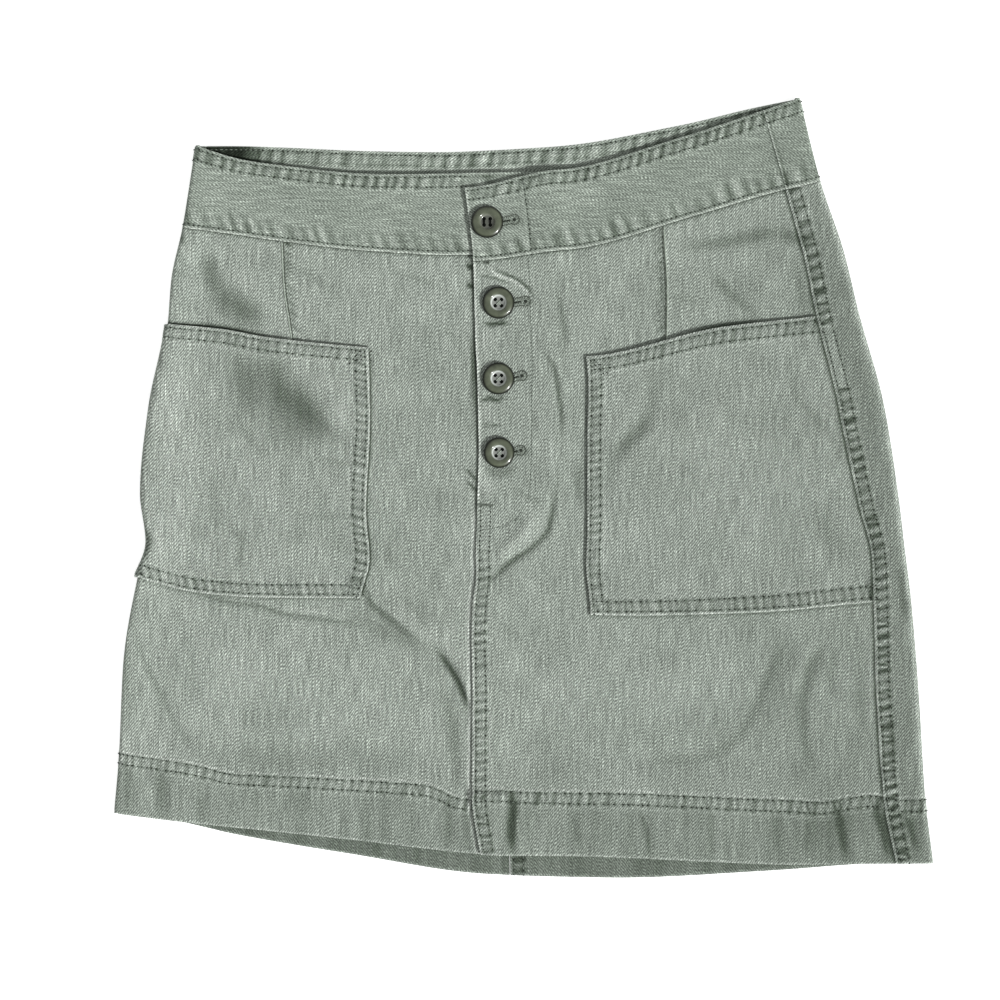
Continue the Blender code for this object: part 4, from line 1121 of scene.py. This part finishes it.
pocket_left = patch_pocket("pocket_left_patch", "pocket_left", pocket_left_columns,
                           pocket_left_edge, -1, 141)
pocket_right = patch_pocket("pocket_right_patch", "pocket_right", pocket_right_columns,
                            pocket_right_edge, 1, 151, over_lap=True)


# ---------------------------------------------------------------- topstitching
# Tonal thread in long straight stitches, two rows along every edge and seam.  Each stitch is pulled into
# the cloth, and a shallow dark dimple at its end is painted shade for its needle hole.
def plain_finish(name, colour, dark, roughness, scale, specular=0.2):
    """A fine mottled finish between two colours."""
    finish = Finish(name)
    place = finish.node("ShaderNodeTexCoord", {}, {}, output=3)
    speckle = finish.noise(place, scale, 2.0) * 2.4 + 0.5
    colour = finish.blend(speckle.between(0.0, 1.0), (*dark, 1.0), (*colour, 1.0))
    return finish.surface(speckle, 0.4, 0.1 * MM,
                          {"Base Color": colour, "Roughness": roughness,
                           "Specular IOR Level": specular})


thread_finish = plain_finish("tonal_thread", (0.225, 0.260, 0.222), (0.10, 0.125, 0.10),
                             0.7, 1500.0)
# near black: painted shade for needle holes and buttonhole slits
hole_shade_finish = plain_finish("needle_hole", (0.030, 0.036, 0.028), (0.012, 0.015, 0.011),
                           0.95, 900.0)
STITCH_PITCH, STITCH_LENGTH, THREAD = 3.05, 2.0, 0.5
UNEVEN = 0.18           # the stitches' sizes vary by this share


def sewing_tree(name, **inputs):
    """An empty node tree that takes lines and these inputs, each of the kind that is named."""
    tree = bpy.data.node_groups.new(name, "GeometryNodeTree")
    for label, kind in {"Lines": "Geometry", **inputs}.items():
        tree.interface.new_socket(label, in_out="INPUT", socket_type="NodeSocket" + kind)
    tree.interface.new_socket("Sewing", in_out="OUTPUT", socket_type="NodeSocketGeometry")
    graph = Graph(tree)
    return graph, graph.node("NodeGroupInput")


def stitch_tree():
    """Straight stitches, and dark dimples of painted needle-hole shade, along lines, laid to the cloth by
    their 'way'.
    """
    graph, lines = sewing_tree("straight_stitches", Hole="Float")
    pitch, length, thread = STITCH_PITCH * MM, STITCH_LENGTH * MM, THREAD * MM
    hole = graph.also(lines, 1)
    curve = graph.node("GeometryNodeMeshToCurve", {}, {"Mesh": lines})
    curve = graph.node("GeometryNodeResampleCurve", {"mode": "LENGTH"},
                       {"Curve": curve, "Length": pitch})
    points = graph.node("GeometryNodeCurveToPoints", {"mode": "EVALUATED"}, {"Curve": curve})
    tangent = graph.also(points, 1)
    way = graph.node("GeometryNodeInputNamedAttribute", {"data_type": "FLOAT_VECTOR"},
                     {"Name": "way"})
    turned = graph.node("FunctionNodeAlignRotationToVector", {"axis": "X"}, {"Vector": tangent})
    turned = graph.node("FunctionNodeAlignRotationToVector", {"axis": "Z", "pivot_axis": "X"},
                        {"Rotation": turned, "Vector": way})

    def bead(wide, long, high, lift, shift, segments, rings, is_hole):
        ball = graph.node("GeometryNodeMeshUVSphere", {},
                          {"Segments": segments, "Rings": rings, "Radius": 0.5})
        ball = graph.node("GeometryNodeTransform", {},
                          {"Geometry": ball, "Translation": graph.combine(shift, 0.0, lift),
                           "Scale": graph.combine(long, wide, high)})
        return graph.node("GeometryNodeStoreNamedAttribute",
                          {"data_type": "BOOLEAN", "domain": "FACE"},
                          {"Geometry": ball, "Name": "is_hole", "Value": is_hole})

    stitch = bead(thread, length, thread * 0.9, thread * 0.12, 0.0, 6, 4, False)
    dimple = bead(hole, hole * 1.4, hole * 0.3, 0.0, pitch * 0.5, 6, 3, True)
    pair = graph.node("GeometryNodeJoinGeometry")
    for part in (stitch, dimple):
        graph.tree.links.new(part.link, pair.link.node.inputs[0])
    varied = graph.node("FunctionNodeRandomValue", {"data_type": "FLOAT"},
                        {2: 1 - UNEVEN, 3: 1 + UNEVEN, 8: 4}, output=1)
    laid = graph.node("GeometryNodeInstanceOnPoints", {},
                      {"Points": points, "Instance": pair, "Rotation": turned, "Scale": varied})
    real = graph.node("GeometryNodeRealizeInstances", {}, {"Geometry": laid})
    real = graph.node("GeometryNodeSetShadeSmooth", {}, {"Geometry": real})
    real = graph.node("GeometryNodeSetMaterial", {}, {"Geometry": real, "Material": thread_finish})
    chosen = graph.node("GeometryNodeInputNamedAttribute", {"data_type": "BOOLEAN"},
                        {"Name": "is_hole"})
    real = graph.node("GeometryNodeSetMaterial", {}, {"Geometry": real, "Selection": chosen,
                                                      "Material": hole_shade_finish})
    graph.node("NodeGroupOutput", {}, {0: real})
    return graph.tree


def grown(name, lines, ways, tree, settings):
    """The plain mesh that a node tree makes of lines of points, with a way for each point."""
    mesh = bpy.data.meshes.new(name + "_lines")
    ends = np.cumsum([len(line) for line in lines])
    edges = [(k, k + 1) for start, end in zip([0, *ends], ends) for k in range(start, end - 1)]
    mesh.from_pydata((np.concatenate(lines) * MM).tolist(), edges, [])
    mesh.attributes.new("way", "FLOAT_VECTOR", "POINT").data.foreach_set("vector", np.ravel(ways))
    lines = placed(name + "_lines", mesh)
    modifier = lines.modifiers.new("sewing", "NODES")
    modifier.node_group = tree
    for item in tree.interface.items_tree:
        if item.in_out == "INPUT" and item.name in settings:
            modifier[item.identifier] = settings[item.name]
    depsgraph = bpy.context.evaluated_depsgraph_get()
    made = bpy.data.meshes.new_from_object(lines.evaluated_get(depsgraph))
    bpy.data.objects.remove(lines)
    piece = placed(name, made)
    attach(piece, "root")
    return piece


straight_stitches = stitch_tree()
ABOVE_TABLE = 0.3       # the lowest middle of a stitch on the underside


def sew(cloth, name, *rows, hole=1.1):
    """One piece of thread for these rows of stitches on a cloth."""
    lines, ways = zip(*rows)
    lines = [np.maximum(line, (-np.inf, -np.inf, ABOVE_TABLE)) for line in lines]
    piece = grown(name + "_topstitching", lines, np.concatenate(ways),
                  straight_stitches, {"Hole": hole * MM})
    corners = np.empty(3 * len(piece.data.vertices))
    piece.data.vertices.foreach_get("co", corners)
    corners[2::3] = np.maximum(corners[2::3], 0.0)      # the table presses the lowest ones flat
    piece.data.vertices.foreach_set("co", corners)
    cloth.sewing.append(piece)


def both(call):
    return [call(ROW_1), call(ROW_2)]


HEM_ROW = -20           # a row of points in the hem, counted from its edge
DART_TOP = 51.5         # drop


def hem_rows(piece, keep=None):
    """The two rows along a piece's hem."""
    rise = hem_rise(piece.x[HEM_ROW])
    return both(lambda row: piece.across(HEM_LINE + row - rise, keep))


def dart_row(piece, line, seed, side):
    drops = np.array([DART_TOP + 1.0, mouth + 1.0])
    return piece.stroke(line(drops) + side * 1.5 / half_width(drops), drops)


FLY_STITCHES = (
    # share, drop
    (0.083, 53.4), (0.079, 64.0), (0.0700, 76.5), (0.047, 132.0), (0.0330, 184.9),
    (0.0240, 199.7), (-0.0072, 213.1), (-0.045, 219.0), (-0.098, 222.0),
)
PANEL_RUN = (panel_top + 1.0, hem_edge - 1.0)
sew(front_left, "front_left", *hem_rows(front_left, front_left.right_of(placket) < -1.0))
sew(front_left, "left_dart", dart_row(*DARTS[0]), hole=0.7)
sew(front_right, "front_right", *hem_rows(front_right),
    *both(lambda row: front_right.down(beside(placket, row), FLY_END + 2.0, hem_edge - 1.0)))
sew(front_right, "fly", front_right.stroke(*zip(*FLY_STITCHES)), dart_row(*DARTS[1]), hole=0.7)
sew(back_right, "back_right", *hem_rows(back_right),
    *both(lambda row: back_right.down(beside(strip_start, row), *PANEL_RUN)),
    *both(lambda row: back_right.down(beside(back_seam_right, row), *PANEL_RUN, turn=1.0)),
    *both(lambda row: back_right.down(beside(back_seam_right, row), HEM_LINE, hem_edge - 1.0,
                                      turn=1.0, inside=True)))
sew(back_left, "back_left", *hem_rows(back_left),
    *both(lambda row: back_left.down(beside(left_seam, row), *PANEL_RUN, turn=1.0)))
BAND_SEWING = (*BAND_ROWS, band_foot - FOOT_ROW)
band_clear = band_left.right_of(placket) < -1.0
sew(band_left, "band_left", *[band_left.across(row, band_clear) for row in BAND_SEWING])
sew(band_right, "band_right", *[band_right.across(row) for row in BAND_SEWING],
    band_right.down(band_row, 1.0, band_foot - 1.0))
sew(band_back, "band_back", *[band_back.across(row) for row in BAND_SEWING],
    band_back.across(BAND_ROWS[0], inside=True))


def pocket_sewing(piece, free_edge, inwards):
    """Rows at the mouth, down the free edge and along the foot."""
    rows = (both(lambda row: piece.across(mouth + row))
            + both(lambda row: piece.down(beside(free_edge, inwards * row), mouth + 1.5, foot - 1.5))
            + both(lambda row: piece.across(foot - row)))
    slant = np.linspace(0, 1, 5)
    for start, end in ((1.5, 8.5), (4.0, 11.0)):
        drops = mouth + 1.8 + slant * 8.0
        share = free_edge(drops) + inwards * (start + (end - start) * slant) / half_width(drops)
        rows.append(piece.stroke(share, drops))
    return rows


sew(pocket_left, "pocket_left", *pocket_sewing(pocket_left, pocket_left_edge, -1))
sew(pocket_right, "pocket_right", *pocket_sewing(pocket_right, pocket_right_edge, 1))
CUTS = (
    # piece, its width and length laid out flat, its area, what it lies on
    (back_right, 289, 428, 110700, ()),
    (back_left, 241, 397, 82900, ()),
    (front_left, 255, 380, 88100, ("back_right", "back_left")),
    (front_right, 257, 423, 91400, ("front_left", "back_right")),
    (band_back, 418, 54, 21200, ()),
    (band_left, 232, 52, 11000, ("waistband_back",)),
    (band_right, 199, 51, 9500, ("waistband_front_left", "waistband_back")),
    (pocket_left, 142, 165, 21900, ("front_left",)),
    (pocket_right, 176, 181, 28000, ("front_right",)),
)
for piece, wide, long, area, beneath in CUTS:
    wide * MM
    long * MM
    area * MM * MM


# ---------------------------------------------------------------- buttonholes and bar tacks
# Keyhole buttonholes, cut from under each button to its right and bound with close zigzag
# thread; short bar tacks close the placket between them and lock the seams' ends.
def wound_tree():
    """Round thread along lines."""
    graph, lines = sewing_tree("wound_thread", Radius="Float", Finish="Material")
    curve = graph.node("GeometryNodeMeshToCurve", {}, {"Mesh": lines})
    ring = graph.node("GeometryNodeCurvePrimitiveCircle", {"mode": "RADIUS"},
                      {"Resolution": 6, "Radius": graph.also(lines, 1)})
    tube = graph.node("GeometryNodeCurveToMesh", {},
                      {"Curve": curve, "Profile Curve": ring, "Fill Caps": True})
    tube = graph.node("GeometryNodeSetShadeSmooth", {}, {"Geometry": tube})
    tube = graph.node("GeometryNodeRealizeInstances", {}, {"Geometry": tube})
    tube = graph.node("GeometryNodeSetMaterial", {}, {"Geometry": tube,
                                                      "Material": graph.also(lines, 2)})
    graph.node("NodeGroupOutput", {}, {0: tube})
    return graph.tree


wound_thread = wound_tree()
depsgraph = bpy.context.evaluated_depsgraph_get()
panel_tree, band_tree = [BVHTree.FromObject(cloth.piece, depsgraph)
                         for cloth in (front_right, band_right)]


def laid_on(tree, places, above):
    """These x, y places dropped onto a piece, this much above it, in millimetres."""
    found = []
    for x, y in places:
        hit = tree.ray_cast(Vector((x * MM, y * MM, 0.1)), Vector((0, 0, -1)))[0]
        found.append((x, y, (hit.z / MM if hit else 6.0) + above))
    return np.array(found)


def zigzag(middle, half, pitch):
    """A zigzag along a path, reaching half to each side of it."""
    middle = np.array(middle, float)
    steps = np.hypot(*np.diff(middle, axis=0).T)
    far = np.concatenate([[0.0], np.cumsum(steps)])
    at = np.arange(0.0, far[-1], pitch / 2)
    x, y = np.interp(at, far, middle[:, 0]), np.interp(at, far, middle[:, 1])
    way_x, way_y = np.gradient(x), np.gradient(y)
    size = np.hypot(way_x, way_y)
    side = np.where(np.arange(at.size) % 2 == 0, half, -half)
    return np.stack([x - way_y / size * side, y + way_x / size * side], 1)


BUTTONHOLES = (
    # tree, centre x and y of the button, its radius, reach of the hole beyond it, slant
    (band_tree, -22.2, 163.3, 9.9, 10.5, 1.6),
    (panel_tree, -15.3, 113.9, 9.9, 10.5, 1.0),
    (panel_tree, -15.3, 67.1, 9.85, 8.4, 1.8),
    (panel_tree, -14.8, 21.4, 9.45, 7.6, 1.4),
)


def around(start, eye, slant, y, away):
    """The path round a keyhole slit, this far from it."""
    turn = math.asin(min(1.0, away / (away + 0.6)))
    loop = [(eye + (away + 0.5) * math.cos(a), y + slant + (away + 0.5) * math.sin(a))
            for a in np.linspace(math.pi - turn, turn - math.pi, 16)]
    return [(start, y + away)] + loop + [(start, y - away)]


bound, edged, slits = [], [], []
for tree, x, y, radius, reach, slant in BUTTONHOLES:
    start, eye = x + radius - 2.0, x + radius + reach - 3.6
    bound.append(laid_on(tree, zigzag(around(start, eye, slant, y, 1.3), 0.75, 1.5), 0.12))
    edged.append(laid_on(tree, zigzag(around(start, eye, slant, y, 2.6), 0.35, 1.1), 0.05))
    # the slit and its eye are dark lines of painted shade
    slit = [(start + part * (eye - start), y + part * slant) for part in np.linspace(0, 0.7, 8)]
    slits.append(laid_on(tree, slit, -0.05))
    slits.append(laid_on(tree, [(eye + 0.5 * math.cos(a), y + slant + 0.5 * math.sin(a))
                                for a in np.linspace(0, 2 * math.pi, 9)], -0.1))


def wind(name, lines, radius, finish):
    """Thread along these lines; the same makes the dark slits and shadow lines of painted shade."""
    ways = np.tile((0.0, 0.0, 1.0), (sum(len(line) for line in lines), 1))
    grown(name, lines, ways, wound_thread, {"Radius": radius * MM, "Finish": finish})


binding_thread = plain_finish("buttonhole_thread", (0.36, 0.41, 0.35), (0.15, 0.18, 0.145),
                              0.7, 1500.0)
# tonal thread darkened with painted shade: the buttonholes' outer edging and the darts' shadows
shaded_thread = plain_finish("shaded_thread", (0.085, 0.100, 0.078), (0.030, 0.036, 0.028),
                             0.8, 1500.0)
wind("buttonhole_binding", bound, 0.24, binding_thread)
wind("buttonhole_edging", edged, 0.26, shaded_thread)
wind("buttonhole_slits", slits, 0.6, hole_shade_finish)
BAR_TACKS = (
    # tree, start x and y, end x and y, half width
    (panel_tree, -28.0, -10.8, -18.0, -11.4, 0.8),
    (panel_tree, -25.5, 139.0, -20.5, 138.0, 1.0),
    (band_tree, 5.0, 190.5, 11.0, 191.4, 0.8),
)
dart_drops = np.linspace(DART_TOP, mouth - 0.5, 12)
dart_folds = [piece.stroke(line(dart_drops), dart_drops)[0] for piece, line, seed, side in DARTS]
# a pale worn line on each dart's fold, and beside it a dark thread that is painted shadow
wind("dart_folds", [fold + (0.0, 0.0, 0.1) for fold in dart_folds], 0.42, binding_thread)
wind("dart_shades", [fold + (side * 1.05, 0.0, -0.12) for fold, side in zip(dart_folds, (1, -1))],
     0.36, shaded_thread)
wind("bar_tacks", [laid_on(tree, zigzag([(x, y), (end_x, end_y)], half, 0.7), 0.12)
                   for tree, x, y, end_x, end_y, half in BAR_TACKS], 0.25, binding_thread)


# ---------------------------------------------------------------- buttons
# Four-hole buttons of glossy olive resin: a wide rounded rim round a sunken, paler centre.
# The top one is sewn on with two thick bars of thread, the others with a cross.
BUTTON_PROFILE = (
    # share of the radius, height in millimetres, from the centre of the face to the base
    (0.0, 1.30), (0.20, 1.32), (0.36, 1.40), (0.42, 1.62), (0.46, 2.20), (0.50, 2.72), (0.55, 3.02),
    (0.62, 3.18), (0.70, 3.20), (0.78, 3.08), (0.86, 2.76), (0.93, 2.30), (0.98, 1.75),
    (1.0, 1.25), (0.98, 0.75), (0.90, 0.25), (0.78, 0.0), (0.0, 0.0),
)
BUTTON_HEIGHT = 3.2
BUTTON_SEGMENTS = 72
HOLE_RADIUS, HOLE_PITCH = 1.15, 3.8


def button_resin(name, centre, step):
    """Olive resin with another colour in its centre; the pale step round that is a painted highlight, and
    the near-black outer edge is painted shade.
    """
    finish = Finish(name)
    place = finish.node("ShaderNodeTexCoord", {}, {}, output=3)
    swirl = finish.noise(place, 260.0, 3.0)
    reach = finish.node("ShaderNodeAttribute", {"attribute_name": "reach"}, output=2)
    rim = finish.blend((swirl * 2.0 + 0.5).between(0.0, 1.0), (0.036, 0.045, 0.025, 1.0),
                       (0.078, 0.092, 0.056, 1.0))
    # the pale step: painted highlight on the bevel into the well
    colour = finish.blend(reach.between(0.52, 0.46), rim, (*step, 1.0))
    colour = finish.blend(reach.between(0.42, 0.38), colour, (*centre, 1.0))
    # near-black outer edge: painted shade on the rim's steep outer side
    colour = finish.blend(reach.between(0.84, 0.95), colour, (0.005, 0.006, 0.004, 1.0))
    return finish.surface(swirl, 0.25, 0.1 * MM,
                          {"Base Color": colour, "Roughness": swirl * 0.2 + 0.36,
                           "Coat Weight": reach.between(0.90, 0.80), "Coat Roughness": 0.12,
                           "Specular IOR Level": 0.3})


resin = button_resin("olive_resin", (0.17, 0.18, 0.165), (0.42, 0.45, 0.42))
dark_resin = button_resin("dark_centred_resin", (0.060, 0.066, 0.052), (0.12, 0.13, 0.10))


def turned_button(name, node):
    """A button turned from its profile, with four holes bored through it."""
    low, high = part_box(node)
    centre = ((low[0] + high[0]) / 2, (low[1] + high[1]) / 2, low[2])
    radius = (high[0] - low[0]) / 2
    tall = (high[2] - low[2]) / (BUTTON_HEIGHT * MM)
    shape = bmesh.new()
    angles = np.linspace(0, 2 * math.pi, BUTTON_SEGMENTS, endpoint=False)
    rings = [[shape.verts.new((centre[0] + radius * share * math.cos(a),
                               centre[1] + radius * share * math.sin(a),
                               centre[2] + height * MM * tall))
              for a in (angles if share else [0.0])] for share, height in BUTTON_PROFILE]
    for upper, lower in zip(rings, rings[1:]):
        for k in range(BUTTON_SEGMENTS):
            quad = [upper[k % len(upper)], lower[k % len(lower)],
                    lower[(k + 1) % len(lower)], upper[(k + 1) % len(upper)]]
            shape.faces.new(list(dict.fromkeys(quad)))
    bmesh.ops.recalc_face_normals(shape, faces=shape.faces)
    body = placed(name, bpy.data.meshes.new(name))
    shape.to_mesh(body.data)
    shape.free()
    drill = bmesh.new()
    for side_x in (-0.5, 0.5):
        for side_y in (-0.5, 0.5):
            made = bmesh.ops.create_cone(drill, cap_ends=True, segments=20,
                                         radius1=HOLE_RADIUS * MM, radius2=HOLE_RADIUS * MM,
                                         depth=12 * MM)
            bmesh.ops.translate(drill, verts=made["verts"],
                                vec=(centre[0] + side_x * HOLE_PITCH * MM,
                                     centre[1] + side_y * HOLE_PITCH * MM, centre[2]))
    bits = placed("drill", bpy.data.meshes.new("drill"))
    drill.to_mesh(bits.data)
    drill.free()
    cut = body.modifiers.new("holes", "BOOLEAN")
    cut.operation, cut.object, cut.solver = "DIFFERENCE", bits, "EXACT"
    depsgraph = bpy.context.evaluated_depsgraph_get()
    bored = bpy.data.meshes.new_from_object(body.evaluated_get(depsgraph))
    body.modifiers.clear()
    body.data = bored
    bpy.data.objects.remove(bits)
    reach = [math.hypot(v.co.x - centre[0], v.co.y - centre[1]) / radius for v in bored.vertices]
    bored.attributes.new("reach", "FLOAT", "POINT").data.foreach_set("value", reach)
    bored.materials.clear()
    bored.materials.append(dark_resin if node == "button_1" else resin)
    bored.shade_smooth()
    bored.set_sharp_from_angle(angle=math.radians(38))
    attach(body, "root")
    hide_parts(node)
    return centre


bars, crosses, knots = [], [], []
half = HOLE_PITCH / 2
cross = 0.66 * half     # the crossed thread's reach, short of the holes' centres
arch = np.linspace(-math.pi / 2, math.pi / 2, 9)
for number in (1, 2, 3, 4):
    centre = turned_button(f"turned_button_{number}", f"button_{number}")
    x, y, z = (value / MM for value in centre)
    for side in (-1, 1):
        # near-black thread bundles down each hole: painted shade in the holes
        knots += [np.array([(x + side * half, y + end * half, z + up) for up in (0.4, 0.7, 1.0)])
                  for end in (-1, 1)]
        if number == 1:
            bars.append(np.array([(x + side * half, y + half * math.sin(a),
                                   z + 1.0 + 0.8 * math.cos(a)) for a in arch]))
        else:
            crosses.append(np.array([(x + side * cross * math.sin(a), y + cross * math.sin(a),
                                      z + 1.2 + (0.45 + 0.15 * side) * math.cos(a)) for a in arch]))
# near-black thread: the top button's bars, and the painted shade in the holes
knot_thread = plain_finish("knot_thread", (0.007, 0.008, 0.007), (0.003, 0.003, 0.003),
                           1.0, 1200.0, 0.0)
wind("button_thread_bars", bars, 0.62, knot_thread)
wind("button_thread_crosses", crosses, 0.27, binding_thread)
wind("button_hole_shades", knots, 1.1, knot_thread)
